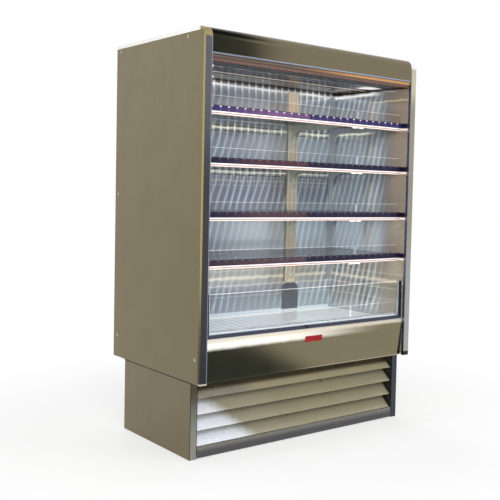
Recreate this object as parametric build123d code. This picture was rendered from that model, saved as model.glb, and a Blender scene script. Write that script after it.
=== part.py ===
from build123d import *
import os
from math import atan2, degrees

# Open multideck display fridge, free standing, with its machine compartment underneath.
# Every piece is drawn in millimetres from the cabinet's left outer side (x), front plane (y)
# and floor (z).  On export it is moved so that the origin is the centre of the footprint.

# ---------------------------------------------------------------- driving dimensions
WIDTH = 1295.0             # over both end panels
DEPTH = 826.0              # front plane to rear sheet
HEIGHT = 1905.0            # floor to roof
BASE_TOP = 351.0           # underside of the cabinet
FIT = 0.2                  # gap between pieces fixed side by side
SLIP = 0.3                 # gap between pieces that slide or lift past each other
END_T = 38.0               # end wall, from the trim's front face to the liner
SHEET = 1.2                # stainless sheet
SKIN = 1.5                 # outer side skin, and the height of the screw heads on it
TRIM_R = 45.0              # round front-top corner of the end trims and the fascia
TRIM_LEG = 15.5            # how far the trim laps round the end panel
SKIN_R = 12.0              # corner of the skin inside the trim
CORE_T = 50.0              # foam thickness
TUB_SIDE = 0.2             # gap between the foam body and the side liners
TUB_FRONT = 40.0           # low front wall of the foam, behind the bumper
TUB_FRONT_T = 32.0

INNER_L = END_T            # inner faces of the end panels
INNER_R = WIDTH - END_T
LINER_L = INNER_L + 0.1 + SHEET
LINER_R = WIDTH - LINER_L

SHELF_TOPS = (1577.0, 1348.4, 1107.1, 891.2)   # top edges of the price channels
SLOT_PITCH = 12.7          # every shelf height is a whole number of slots away
SLOT_H = 9.0
SLOT_W = 3.4
SLOT_DROP = 20.0           # slot centres below a shelf's top edge
SECTION_JOINT = INNER_L + 914.0                # 36 in wide sections, then 12 in ones
DUCT_Y = 614.0             # front of the slotted duct panel
STANDARD_Y = 600.0         # front of the shelf standards
STANDARD_Z = (700.0, 1750.0)
SHELF_FRONT = 55.0         # front of the price channels
STOP_RISE = 44.0           # clear product stops above the channels
STOP_T = 3.0

FASCIA_BOTTOM = 1796.0
CEILING = 1770.0
DECK_Z = 538.0             # loading surface of the bottom deck
GRILLE_Z = 570.0           # return air grille at the front of the deck
BUMPER_TOP = 546.0
GLASS_TOP = 744.0
GLASS_Y = 30.5             # middle of the front glass
GLASS_T = 6.0
DECK_STOP_TOP = 626.0

BASE_X = 5.0               # base sides, in from the outer sides
BASE_FRONT = 78.0
BASE_BACK = 705.0
POST_W = 36.0              # visible width of a base corner post
KICK = (5.0, 57.0)         # kick plate, bottom and top
LOUVER_LOW = (60.0, 130.0, 202.0, 274.0)       # lower edges of the four louvers
LOUVER_RISE = 56.0
LOUVER_DEPTH = 62.0
LOUVER_HEM = 11.0          # fold under each louver's lower edge
BASE_FOOT = 2.0            # underside of the base sides
FLOOR_PLATE = 22.0         # underside of the base tray
FOOT_INSET = (90.0, 70.0)


# ---------------------------------------------------------------- helpers
def block(x0, x1, y0, y1, z0, z1):
    """Box between two corners."""
    centre = ((x0 + x1) / 2, (y0 + y1) / 2, (z0 + z1) / 2)
    return Pos(*centre) * Box(x1 - x0, y1 - y0, z1 - z0)


def region(points, rounds=()):
    """Flat outline through points; rounds lists (corner index, radius)."""
    face = make_face(Polyline(*points, close=True))
    for index, radius in rounds:
        corner = Vector(*points[index])
        vertex = min(face.vertices(), key=lambda v: (Vector(*v) - corner).length)
        face = fillet(vertex, radius)
    return face


def along_x(face, x0, x1):
    """Extrude a (y, z) outline along the cabinet's width."""
    return extrude(Plane.YZ.offset(x0) * face, amount=x1 - x0)


def up_z(face, z0, z1):
    """Extrude an (x, y) outline upwards."""
    return extrude(Pos(0, 0, z0) * face, amount=z1 - z0)


def sheet_xz(face, y0, y1):
    """Extrude an (x, z) outline from y0 back to y1."""
    return extrude(Plane.XZ.offset(-y1) * face, amount=y1 - y0)


def rect(x0, x1, y0, y1):
    """Flat rectangle between two corners."""
    return Pos((x0 + x1) / 2, (y0 + y1) / 2) * Rectangle(x1 - x0, y1 - y0)


def rod_y(x, z, radius, y0, y1):
    """Round bar that lies along the depth."""
    return Pos(x, (y0 + y1) / 2, z) * Rot(90, 0, 0) * Cylinder(radius, y1 - y0)


def rod_x(y, z, radius, x0, x1):
    """Round bar that lies along the width."""
    return Pos((x0 + x1) / 2, y, z) * Rot(0, 90, 0) * Cylinder(radius, x1 - x0)


def rod_z(x, y, radius, z0, z1):
    """Upright round bar."""
    return Pos(x, y, (z0 + z1) / 2) * Cylinder(radius, z1 - z0)


def other_side(part):
    """The same piece on the right-hand side of the cabinet."""
    return mirror(part, about=Plane.YZ.offset(WIDTH / 2))


def save(node, *solids):
    """Write one node, moved to the centre of the footprint."""
    placed = [Pos(-WIDTH / 2, -DEPTH / 2, 0) * solid for solid in solids]
    shape = placed[0] if len(placed) == 1 else Compound(children=placed)
    export_step(shape, f"parts/{node}.step")


# ---------------------------------------------------------------- end panels
SCREW_SPOTS = ((782.0, 1874.0), (143.0, 1871.0), (794.0, 1171.0), (786.0, 460.0), (43.0, 459.0))
SCREW_HEAD = 8.0
SCREW_SHANK = 2.2
SCREW_LENGTH = 16.0
FOAM_BACK = DEPTH - SHEET - FIT
FOAM_TOP = HEIGHT - SHEET - FIT
FOAM_TOP_FRONT = TRIM_R + 5            # front edge of the foam roof


def side_outline(inset, radius, bottom):
    """Side view of an end panel, drawn in from its front and top edges."""
    points = [(inset, bottom), (inset, HEIGHT - inset), (DEPTH, HEIGHT - inset), (DEPTH, bottom)]
    return region(points, [(1, radius)])


def screw_holes():
    """Clearance for the shanks of one side's screws."""
    return [rod_x(y, z, SCREW_SHANK + 0.1, 0, SCREW_LENGTH + 1) for y, z in SCREW_SPOTS]


def side_skin():
    """Flat outer skin of an end wall, with the holes for its screws."""
    skin = along_x(side_outline(TRIM_LEG + 0.5, SKIN_R, BASE_TOP), SKIN, 2 * SKIN)
    return skin - screw_holes()


def end_wall():
    """Foam of one end wall, inside its skin and trim, with the ties to the rest of the foam."""
    inset = SHEET + 0.1
    inner = END_T - inset
    wall = along_x(side_outline(inset, TRIM_R - inset, BASE_TOP + inset), 2 * SKIN + 0.1, inner)
    tie_end = LINER_L + TUB_SIDE + 1
    low, high = BASE_TOP + inset, HEIGHT - TRIM_LEG - FIT
    wall += block(inner - 1, tie_end, TUB_FRONT, FOAM_BACK, low, low + CORE_T - 1)
    wall += block(inner - 1, tie_end, FOAM_BACK - CORE_T, FOAM_BACK, low, high)
    wall += block(inner - 1, tie_end, FOAM_TOP_FRONT, FOAM_BACK, FOAM_TOP - CORE_T, high)
    wall -= block(0, END_T, FOAM_BACK, DEPTH + 1, BASE_TOP, HEIGHT)
    return wall - screw_holes()


def end_trim():
    """Folded channel that wraps the front and top edges of an end panel."""
    outer = side_outline(0, TRIM_R, BASE_TOP)
    lap = side_outline(TRIM_LEG, SKIN_R, BASE_TOP - 1)
    cavity = side_outline(SHEET, TRIM_R - SHEET, BASE_TOP - 1)
    channel = along_x(outer, 2 * SKIN - SHEET, END_T) - along_x(lap, 0, END_T + 1)
    channel -= along_x(cavity, 2 * SKIN, END_T - SHEET)
    return channel + block(2 * SKIN - SHEET, END_T, 0, TRIM_LEG, BASE_TOP, BASE_TOP + SHEET)


def panel_screws():
    """Ten pan-head screws, five in each side skin."""
    screws = []
    for y, z in SCREW_SPOTS:
        head = rod_x(y, z, SCREW_HEAD, 0, SKIN)
        head = fillet(head.edges().filter_by(GeomType.CIRCLE).sort_by(Axis.X)[0], 1.2)
        screw = head + rod_x(y, z, SCREW_SHANK, SKIN, SCREW_LENGTH)
        screws += [screw, other_side(screw)]
    return screws


def build_ends():
    """Both end panels: skins, trims and screws."""
    for piece, make in (("side_skin", side_skin), ("end_trim", end_trim)):
        left = make()
        save(f"{piece}_left", left)
        save(f"{piece}_right", other_side(left))
    save("panel_screws", *panel_screws())


# ---------------------------------------------------------------- cabinet body
def outer_wrap():
    """Rear and roof sheet, folded from one blank."""
    front, back = TRIM_R + 1.5, DEPTH
    points = [(back - SHEET, BASE_TOP), (back, BASE_TOP), (back, HEIGHT), (front, HEIGHT),
              (front, HEIGHT - SHEET), (back - SHEET, HEIGHT - SHEET)]
    wrap = along_x(region(points, [(2, 3.0)]), INNER_L + FIT, INNER_R - FIT)
    # the rear sheet runs on over the foam of both end walls, notched for the trims
    below, inside = HEIGHT - TRIM_LEG - FIT, HEIGHT - SHEET - FIT
    wing = block(2 * SKIN + FIT, END_T - SHEET - FIT, back - SHEET, back, BASE_TOP, inside)
    wing += block(END_T - 2 * SHEET, INNER_L + SHEET, back - SHEET, back, BASE_TOP, below)
    return wrap + wing + other_side(wing)


def insulated_tub():
    """Foam body poured in one piece: floor, low front wall, back, top and both end walls."""
    back, front_back = FOAM_BACK, TUB_FRONT + TUB_FRONT_T
    low, high, front_top = BASE_TOP + SHEET, FOAM_TOP, DECK_Z + 2
    points = [(TUB_FRONT, low), (back, low), (back, high), (FOAM_TOP_FRONT, high),
              (FOAM_TOP_FRONT, high - CORE_T), (back - CORE_T, high - CORE_T),
              (back - CORE_T, low + CORE_T), (front_back, low + CORE_T),
              (front_back, front_top), (TUB_FRONT, front_top)]
    wall = end_wall()
    return along_x(region(points), LINER_L + TUB_SIDE, LINER_R - TUB_SIDE) + wall + other_side(wall)


LINER_BACK = DEPTH - SHEET - CORE_T - 1
LINER_FRONT = 16.0         # front edge of the liners, behind the end trims
LEDGE = (14.0, 3.2)        # width and thickness of the ledges under the deck


def side_liner():
    """Bright inner side sheet with a hemmed front edge and the ledge the deck rests on."""
    wide, thick = LEDGE
    outer, top = INNER_L + 0.1, HEIGHT - SHEET - CORE_T - 2
    ledge_front, ledge_top = TUB_FRONT + TUB_FRONT_T + wide, DECK_Z - SHEET - 0.1
    liner = block(outer, LINER_L, TUB_FRONT, LINER_BACK, BASE_TOP + SHEET + CORE_T, top)
    liner += block(outer, LINER_L, LINER_FRONT, TUB_FRONT, BASE_TOP + 10, LAMP_LOW - 1)
    # the ledge stands clear of the foam's low front wall
    return liner + block(LINER_L, LINER_L + wide, ledge_front, DUCT_Y - 2, ledge_top - thick, ledge_top)


DASH = (60.0, 18.0, 4.0)   # air slots in the duct panel: length, gap, height


def dash_row(z, spans):
    """Row of short horizontal air slots, as flat rectangles."""
    length, gap, height = DASH
    dashes = []
    for x0, x1 in spans:
        count = int((x1 - x0 + gap) // (length + gap))
        start = (x0 + x1 - count * length - (count - 1) * gap) / 2
        for i in range(count):
            x = start + i * (length + gap)
            dashes.append(rect(x, x + length, z - height / 2, z + height / 2))
    return dashes


MID_STANDARD_W = 70.0
END_STANDARD_W = 28.0
END_STANDARD_GAP = 1.0
AIR_SLOT_DROPS = (36.0, 64.0)      # rows of air slots below each shelf's top edge


def duct_panel():
    """Slotted rear duct panel behind the shelves."""
    left, right = LINER_L + SLIP, LINER_R - SLIP
    face = rect(left, right, DECK_Z + 8, CEILING - SHEET - 0.5)
    half = MID_STANDARD_W / 2 + 10
    spans = ((left + 40, SECTION_JOINT - half), (SECTION_JOINT + half, right - 40))
    for top in SHELF_TOPS:
        for drop in AIR_SLOT_DROPS:
            face -= dash_row(top - drop, spans)
    return sheet_xz(face, DUCT_Y, DUCT_Y + SHEET)


# ---------------------------------------------------------------- shelf standards
STANDARD_T = 2.0
MID_ROW = 14.5             # slot rows of the middle standard, each side of the joint
END_CLEAR = 10.0           # plain metal above the highest slot
BRACKET_X = (LINER_L + END_STANDARD_GAP + END_STANDARD_W / 2, SECTION_JOINT - MID_ROW,
             SECTION_JOINT + MID_ROW, LINER_R - END_STANDARD_GAP - END_STANDARD_W / 2)


def slot_heights():
    """Slot centres, in step with the shelf heights."""
    z = SHELF_TOPS[0] - SLOT_DROP
    while z + SLOT_PITCH < STANDARD_Z[1] - END_CLEAR:
        z += SLOT_PITCH
    heights = []
    while z > STANDARD_Z[0] + SLOT_PITCH + SLOT_W:
        heights.append(z)
        z -= SLOT_PITCH
    return heights


def standard(centre, width, rows):
    """Slotted upright: a folded channel with one or two rows of slots."""
    z0, z1 = STANDARD_Z
    half = width / 2
    web = rect(centre - half, centre + half, z0, z1)
    slots = [rect(x - SLOT_W / 2, x + SLOT_W / 2, z - SLOT_H / 2, z + SLOT_H / 2)
             for x in rows for z in slot_heights()]
    upright = sheet_xz(web - slots, STANDARD_Y, STANDARD_Y + STANDARD_T)
    for edge in (centre - half, centre + half - STANDARD_T):
        upright += block(edge, edge + STANDARD_T, STANDARD_Y, DUCT_Y, z0, z1)
    return upright


def shelf_standards():
    """Left, middle and right standards."""
    left, mid_l, mid_r, right = BRACKET_X
    return [standard(left, END_STANDARD_W, [left]),
            standard(SECTION_JOINT, MID_STANDARD_W, [mid_l, mid_r]),
            standard(right, END_STANDARD_W, [right])]


# ---------------------------------------------------------------- shelves
PAN_DROP = 6.0             # loading surface below the top edge of the price channel
PAN_FLANGE = 22.0
PAN_FRONT = SHELF_FRONT + 9
PAN_BACK = STANDARD_Y - 4
BRACKET_T = 2.5
BRACKET_ROOT = (12.0, 96.0)        # depth and height of a bracket's back end
SADDLE_T = 2.5             # plate that joins the two middle brackets
SADDLE_DROP = 119.0        # middle of its round lower end, below the channel's top
SADDLE_R = 34.0
SADDLE_HOLE_R = 20.0
SADDLE_ARM = 89.0          # height of its two arms above that middle
SADDLE_NOTCH = 22.0        # half width of the notch between them
NOSE_H = 14.0              # height of a bracket's front end
HOOK_T = 2.2
HOOK_H = 4.0
HOOKS = (0, 5)             # slots that the two hooks of a bracket use, counted down
SECTIONS = {"wide": (LINER_L + 2.5, SECTION_JOINT - 1.5),
            "narrow": (SECTION_JOINT + 1.5, LINER_R - 2.5)}


def shelf_pan(top, x0, x1):
    """Folded shelf tray, open underneath and at the back edge."""
    z = top - PAN_DROP
    tray = block(x0, x1, PAN_FRONT, PAN_BACK, z - PAN_FLANGE, z)
    return tray - block(x0 + SHEET, x1 - SHEET, PAN_FRONT + SHEET, PAN_BACK + 1,
                        z - PAN_FLANGE - 1, z - SHEET)


def shelf_bracket(top, x):
    """Cantilever bracket: straight top edge, sweeping lower edge, two hooks at the back."""
    z = top - PAN_DROP - SHEET - 0.1
    back = STANDARD_Y - SLIP
    depth, drop = BRACKET_ROOT
    nose = (PAN_FRONT + SHEET + 6, z - NOSE_H)
    root = (back - depth, top - drop)
    sweep = Spline(nose, (back - 175, z - 30), root, tangents=((1, -0.02), (0.1, -1)))
    outline = [sweep, Polyline(root, (back, root[1]), (back, z), (nose[0], z), nose)]
    plate = make_face(outline)
    for step in HOOKS:
        slot = top - SLOT_DROP - step * SLOT_PITCH
        neck_low = slot - SLOT_H / 2 + 0.1
        tail_y = STANDARD_Y + STANDARD_T + SLIP
        plate += rect(back - 1, tail_y + HOOK_T, neck_low, neck_low + HOOK_H)
        plate += rect(tail_y, tail_y + HOOK_T, neck_low - HOOK_H, neck_low + HOOK_H)
    return along_x(plate, x - BRACKET_T / 2, x + BRACKET_T / 2)


def bracket_saddle(top):
    """Wishbone plate between the middle brackets: two arms over a round end with a hole."""
    x, z, r = SECTION_JOINT, top - SADDLE_DROP, SADDLE_R
    high, notch, back = z + SADDLE_ARM, SADDLE_NOTCH, STANDARD_Y - SLIP
    outline = [ThreePointArc((x - r, z), (x, z - r), (x + r, z)),
               Polyline((x + r, z), (x + r, high), (x + notch, high), (x, z + r),
                        (x - notch, high), (x - r, high), (x - r, z))]
    face = make_face(outline) - Pos(x, z) * Circle(SADDLE_HOLE_R)
    return sheet_xz(face, back - SADDLE_T, back)


def bracket_set(top):
    """The shelf's brackets: one at each end, and a joined pair at the joint."""
    left, mid_l, mid_r, right = BRACKET_X
    pair = bracket_saddle(top) + shelf_bracket(top, mid_l) + shelf_bracket(top, mid_r)
    return [shelf_bracket(top, left), pair, shelf_bracket(top, right)]


CHANNEL_T = 8.8            # price channel, front to back
CHANNEL_H = 41.0
TICKET_H = 26.0            # ticket holder, from the top edge down
LAMP_H = 6.0               # lamp bar along the bottom of the channel


def price_channel(top, x0, x1):
    """Extruded front channel: ticket holder above, a stepped cover, and a lamp bar below."""
    front, back, low = SHELF_FRONT, SHELF_FRONT + CHANNEL_T, top - CHANNEL_H
    rail = block(x0, x1, back - 1.8, back, low, top)
    rail += block(x0, x1, front, back, top - 1.6, top)
    rail += block(x0, x1, front + 1.5, front + 2.5, top - TICKET_H, top - 1)
    rail += block(x0, x1, front, back, top - TICKET_H - 3, top - TICKET_H)
    rail += block(x0, x1, front + 1, front + 2.2, low + LAMP_H, top - TICKET_H - 2)
    return rail + block(x0, x1, front + 1, back, low, low + LAMP_H)


def clear_stop(x0, x1, y, z0, z1, radius=8.0):
    """Clear upright strip with rounded top corners."""
    face = region([(x0, z0), (x0, z1), (x1, z1), (x1, z0)], [(1, radius), (2, radius)])
    return sheet_xz(face, y, y + STOP_T)


def build_shelves():
    """Four shelves, each with two pans, their channels, clear stops and brackets."""
    for number, top in enumerate(SHELF_TOPS, start=1):
        stops, channels = [], []
        for section, (x0, x1) in SECTIONS.items():
            save(f"shelf_{number}_{section}", shelf_pan(top, x0, x1))
            channels.append(price_channel(top, x0 - 1, x1 + 1))
            stops.append(clear_stop(x0 + 1, x1 - 1, PAN_FRONT + 3, top - PAN_DROP, top + STOP_RISE))
        save(f"shelf_{number}_channels", *channels)
        save(f"shelf_{number}_stops", *stops)
        save(f"shelf_{number}_brackets", *bracket_set(top))


# ---------------------------------------------------------------- canopy
LAMP_BACK = 44.0
LAMP_LIP = 1789.0          # where the lamp's slanted front meets its top lip
LAMP_BED = (22.0, 38.0)    # groove of the light strip
LAMP_LOW = 1763.0
GRILLE_Y = (62.0, 140.0)
GRILLE_X = (60.0, WIDTH - 60.0)


def canopy_fascia():
    """Front header with a rounded top edge and a return underneath."""
    back = TRIM_R + 1
    outer = region([(0, FASCIA_BOTTOM), (0, HEIGHT), (back, HEIGHT), (back, FASCIA_BOTTOM)],
                   [(1, TRIM_R)])
    low, high = FASCIA_BOTTOM + SHEET, HEIGHT - SHEET
    inner = region([(SHEET, low), (SHEET, high), (back + 1, high), (back + 1, low)],
                   [(1, TRIM_R - SHEET)])
    sheet = along_x(outer - inner, INNER_L + FIT, INNER_R - FIT)
    return sheet - block(INNER_L, INNER_R, TUB_FRONT - 2, back + 1, FASCIA_BOTTOM - 1, low + 1)


def canopy_lamp():
    """Lamp housing under the header: polished slanted front, light strip underneath."""
    points = [(2, FASCIA_BOTTOM), (2, LAMP_LIP), (14, LAMP_LOW), (LAMP_BACK, LAMP_LOW),
              (LAMP_BACK, FASCIA_BOTTOM)]
    housing = along_x(region(points, [(1, 2.0), (2, 2.0)]), LINER_L + SLIP, LINER_R - SLIP)
    strip_bed = block(LINER_L + 20, LINER_R - 20, *LAMP_BED, LAMP_LOW - 1, LAMP_LOW + 2)
    return housing - strip_bed


def canopy_liner():
    """Bright ceiling sheet, with the opening for the discharge grille and a front upstand."""
    left, right, step = LINER_L + SLIP, LINER_R - SLIP, LAMP_BACK + 3
    ceiling = block(left, right, LAMP_BACK + 1, DUCT_Y + SHEET, CEILING - SHEET, CEILING)
    ceiling += block(left, right, step, step + SHEET, CEILING - SHEET, FOAM_TOP - CORE_T)
    return ceiling - block(*GRILLE_X, *GRILLE_Y, CEILING - 5, CEILING + 5)


def discharge_grille():
    """Honeycomb style air straightener: rows of small cells that blow the air curtain down."""
    rows, columns, web = 4, 60, 1.6
    x0, x1 = GRILLE_X[0] + SLIP, GRILLE_X[1] - SLIP
    y0, y1 = GRILLE_Y[0] + SLIP, GRILLE_Y[1] - SLIP
    pitch_x, pitch_y = (x1 - x0 - web) / columns, (y1 - y0 - web) / rows
    cells = [rect(x0 + web + i * pitch_x, x0 + (i + 1) * pitch_x,
                  y0 + web + j * pitch_y, y0 + (j + 1) * pitch_y)
             for i in range(columns) for j in range(rows)]
    return up_z(rect(x0, x1, y0, y1) - cells, CEILING - 6, CEILING + 10)


def build_canopy():
    """Header, its lamp, the ceiling and the grille in it."""
    save("canopy_fascia", canopy_fascia())
    save("canopy_lamp", canopy_lamp())
    save("canopy_liner", canopy_liner())
    save("discharge_grille", discharge_grille())


# ---------------------------------------------------------------- deck and bumper
DECK_FRONT = 86.0
BUMPER_FACE = (24.0, 9.0)  # leaning front face: y at the bottom, y at the top
BUMPER_ROUND = 24.0
CHANNEL_Y = (24.0, 38.0)
CHANNEL_TOP = 562.0
GRILLE_BAR_Y = (39.0, 84.0)
GLASS_POST_W = 20.0
DECK_STOP_SHORT = 94.0     # width of the short clear strip on the right
PLATE_SIZE = (105.0, 28.0) # blank plate on the bumper
PLATE_Z = 498.0


def deck_pan():
    """Bottom deck tray that lifts out: raised front edge, folded sides."""
    x0, x1 = LINER_L + 1.5, LINER_R - 1.5
    y1 = DUCT_Y - 2
    pan = block(x0, x1, DECK_FRONT, y1, DECK_Z - SHEET, DECK_Z)
    pan += block(x0, x1, DECK_FRONT, DECK_FRONT + SHEET, DECK_Z - SHEET, GRILLE_Z - 4)
    return pan + block(x0 + 20, x1 - 20, y1 - SHEET, y1, DECK_Z - 20, DECK_Z)


def deck_stop():
    """Two clear strips that stand along the front of the deck."""
    x0, x1 = LINER_L + 4, LINER_R - 4
    joint = x1 - DECK_STOP_SHORT
    return [clear_stop(a, b, DECK_FRONT + SHEET + 1, DECK_Z, DECK_STOP_TOP)
            for a, b in ((x0, joint - 1.5), (joint + 1.5, x1))]


def return_grille():
    """Return air grille between the glass and the deck, with two rows of slots."""
    y0, y1 = GRILLE_BAR_Y
    x0, x1 = LINER_L + 1, LINER_R - 1
    hat = block(x0, x1, y0, y1, DECK_Z + 2, GRILLE_Z)
    hat -= block(x0 - 1, x1 + 1, y0 + SHEET, y1 - SHEET, DECK_Z, GRILLE_Z - SHEET)
    count, length, width = 48, 14.0, 5.0
    pitch = (x1 - x0) / count
    slots = [rect(x0 + (i + 0.5) * pitch - width / 2, x0 + (i + 0.5) * pitch + width / 2,
                  y - length / 2, y + length / 2)
             for i in range(count) for y in (y0 + 13, y1 - 13)]
    return hat - up_z(Sketch() + slots, GRILLE_Z - 3, GRILLE_Z + 1)


def bumper_outline(inset):
    """Side view of the bumper, drawn in from its face and top edge."""
    low, top = BUMPER_FACE
    grow = 1 if inset else 0
    points = [(low + inset, BASE_TOP + 1 - grow), (top + inset, BUMPER_TOP - inset),
              (CHANNEL_Y[1] + grow, BUMPER_TOP - inset), (CHANNEL_Y[1] + grow, BASE_TOP + 1 - grow)]
    return region(points, [(1, BUMPER_ROUND - inset)])


def bumper_panel():
    """Leaning front panel with a rolled top edge and a folded bottom edge."""
    thick = 1.5
    x0, x1 = INNER_L + 3.5, INNER_R - 3.5
    panel = along_x(bumper_outline(0) - bumper_outline(thick), x0, x1)
    return panel + block(x0, x1, BUMPER_FACE[0], CHANNEL_Y[1] - 4, BASE_TOP + 1, BASE_TOP + 1 + thick)


def glass_frame():
    """Bottom channel and two end posts that hold the front glass."""
    x0, x1 = LINER_L + 0.7, LINER_R - 0.7
    y0, y1 = CHANNEL_Y
    groove = (GLASS_Y - GLASS_T / 2 - SLIP, GLASS_Y + GLASS_T / 2 + SLIP)
    frame = block(x0, x1, y0, y1, BUMPER_TOP, CHANNEL_TOP)
    for a, b in ((x0, x0 + GLASS_POST_W), (x1 - GLASS_POST_W, x1)):
        frame += block(a, b, y0 + 1, y1 - 1, CHANNEL_TOP, GLASS_TOP + 2)
    return frame - block(x0 + 5, x1 - 5, *groove, BUMPER_TOP + 3, GLASS_TOP + 3)


def front_glass():
    """Clear front pane; it slides up out of its frame for cleaning."""
    x0, x1 = LINER_L + 0.7 + 5.5, LINER_R - 0.7 - 5.5
    face = rect(x0, x1, BUMPER_TOP + 3.2, GLASS_TOP)
    pane = sheet_xz(face, GLASS_Y - GLASS_T / 2, GLASS_Y + GLASS_T / 2)
    return chamfer(pane.edges().filter_by(Axis.X).group_by(Axis.Z)[-1], 0.8)


def badge_plate():
    """Plain blank plate on the bumper's leaning face."""
    low, top = BUMPER_FACE
    lean = degrees(atan2(low - top, BUMPER_TOP - BASE_TOP - 1))
    share = (PLATE_Z - BASE_TOP - 1) / (BUMPER_TOP - BASE_TOP - 1)
    thick = 1.6
    plate = Box(PLATE_SIZE[0], thick, PLATE_SIZE[1])
    plate = fillet(plate.edges().filter_by(Axis.Y), 2.0)
    y = low + (top - low) * share
    return Pos(WIDTH / 2, y, PLATE_Z) * Rot(lean, 0, 0) * Pos(0, -thick / 2 - 0.05, 0) * plate


def build_deck():
    """Bottom deck, the bumper in front of it and the front glass."""
    save("deck_pan", deck_pan())
    save("deck_stop", *deck_stop())
    save("return_grille", return_grille())
    save("bumper_panel", bumper_panel())
    save("glass_frame", glass_frame())
    save("front_glass", front_glass())
    save("badge_plate", badge_plate())


# ---------------------------------------------------------------- base
TRAY_T = 2.5
FLOOR_Z = FLOOR_PLATE + TRAY_T
SIDE_T = 1.5
FOOT_PAD_R = 19.0
STUD_R = 5.0


def base_side():
    """Folded base side: side sheet with the front and rear corner posts folded on."""
    t = SIDE_T
    x0, x1 = BASE_X, BASE_X + POST_W
    front, back, lip = BASE_FRONT, BASE_BACK, 22.0
    outer = [(x1, front + lip), (x1, front), (x0, front), (x0, back), (x1, back), (x1, back - lip)]
    inner = [(x1 - t, back - lip), (x1 - t, back - t), (x0 + t, back - t), (x0 + t, front + t),
             (x1 - t, front + t), (x1 - t, front + lip)]
    return up_z(region(outer + inner), BASE_FOOT, BASE_TOP + SHEET)


def foot_spots():
    """Corner name and place of each levelling foot."""
    dx, dy = FOOT_INSET
    for row, y in (("front", BASE_FRONT + dy), ("rear", BASE_BACK - dy)):
        for side, x in (("left", dx), ("right", WIDTH - dx)):
            yield f"{row}_{side}", x, y


def base_tray():
    """Floor of the machine compartment, with stiffening lips and holes for the feet."""
    x0, x1 = BASE_X + SIDE_T + FIT, WIDTH - BASE_X - SIDE_T - FIT
    y0, y1 = BASE_FRONT + 26, BASE_BACK - 26
    z0, z1 = FLOOR_PLATE, FLOOR_Z
    tray = block(x0, x1, y0, y1, z0, z1)
    for y in (y0, y1 - TRAY_T):
        tray += block(x0, x1, y, y + TRAY_T, z0, z0 + 26)
    for _, x, y in foot_spots():
        tray += rod_z(x, y, 12, z1, z1 + 9)
    return tray - [rod_z(x, y, STUD_R + SLIP, z0 - 1, z1 + 10) for _, x, y in foot_spots()]


def levelling_foot(x, y):
    """Round pad on a threaded stud."""
    pad = rod_z(x, y, FOOT_PAD_R, 0, 8)
    pad = chamfer(pad.edges().sort_by(Axis.Z)[-1], 2.5)
    return pad + rod_z(x, y, 9, 8, 14) + rod_z(x, y, STUD_R, 14, 52)


def kick_plate():
    """Plain strip at floor level, folded back along its top."""
    x0, x1 = BASE_X + POST_W + 2, WIDTH - BASE_X - POST_W - 2
    low, high = KICK
    plate = block(x0, x1, BASE_FRONT + 1, BASE_FRONT + 1 + SHEET, low, high)
    return plate + block(x0, x1, BASE_FRONT + 1, BASE_FRONT + 22, high - SHEET, high)


def louver_grille():
    """Lift-off air grille: four sloping louvers between two end plates."""
    x0, x1 = BASE_X + POST_W + 2, WIDTH - BASE_X - POST_W - 2
    y0 = BASE_FRONT + 2
    y1 = y0 + LOUVER_DEPTH
    t = 1.5
    ends_low, ends_high = KICK[1] + 1.5, LOUVER_LOW[-1] + LOUVER_RISE + 6
    grille = block(x0, x0 + t, y0 + 4, y1, ends_low, ends_high)
    grille += block(x1 - t, x1, y0 + 4, y1, ends_low, ends_high)
    for low in LOUVER_LOW:
        high = low + t + LOUVER_RISE
        slat = region([(y0, low), (y0, low + t), (y1, high), (y1, high - 2 * t), (y0 + 2 * t, low + t),
                       (y0 + LOUVER_HEM, low + t), (y0 + LOUVER_HEM, low)], [(1, 0.8)])
        grille += along_x(slat, x0, x1)
    return grille


def build_base():
    """Base frame, its grille and kick plate, and the feet."""
    side = base_side()
    save("base_side_left", side)
    save("base_side_right", other_side(side))
    save("base_tray", base_tray())
    save("kick_plate", kick_plate())
    save("louver_grille", louver_grille())
    for corner, x, y in foot_spots():
        save(f"foot_{corner}", levelling_foot(x, y))


# ---------------------------------------------------------------- refrigeration, underneath
FAN_X, FAN_Z = 330.0, 166.0
FAN_R = 112.0
COIL_Y = (160.0, 214.0)
COIL_HALF = 190.0
COIL_Z = (FLOOR_Z, 306.0)
SHROUD_BACK = 262.0
BEND_R, TUBE_R = 11.0, 4.0 # return bends of the coils
BEND_PITCH = 44.0


def finned_coil(x0, x1, y0, y1, z0, z1, fins, wall_y=None):
    """Coil: end plates, a stack of fins cut as gaps, and return bends at one end.

    The end plates of a hanging coil reach back to the wall at wall_y.
    """
    plate = 3.0
    coil = block(x0, x1, y0, y1, z0, z1)
    if wall_y:
        coil += [block(x, x + plate, y1 - 1, wall_y, z0, z1) for x in (x0, x1 - plate)]
    pitch, deep, edge = (x1 - x0 - 2 * plate) / fins, 14.0, 8.0
    coil -= [block(x0 + plate + i * pitch, x0 + plate + (i + 0.55) * pitch, y0 - 1, y0 + deep,
                   z0 + edge, z1 - edge) for i in range(fins)]
    for i in range(int((z1 - z0 - 40) // BEND_PITCH)):
        place = Pos(x1, (y0 + y1) / 2 + TUBE_R, z0 + 30 + i * BEND_PITCH)
        coil += place * Rot(90, 0, 0) * Torus(BEND_R, TUBE_R)
    return coil


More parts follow.
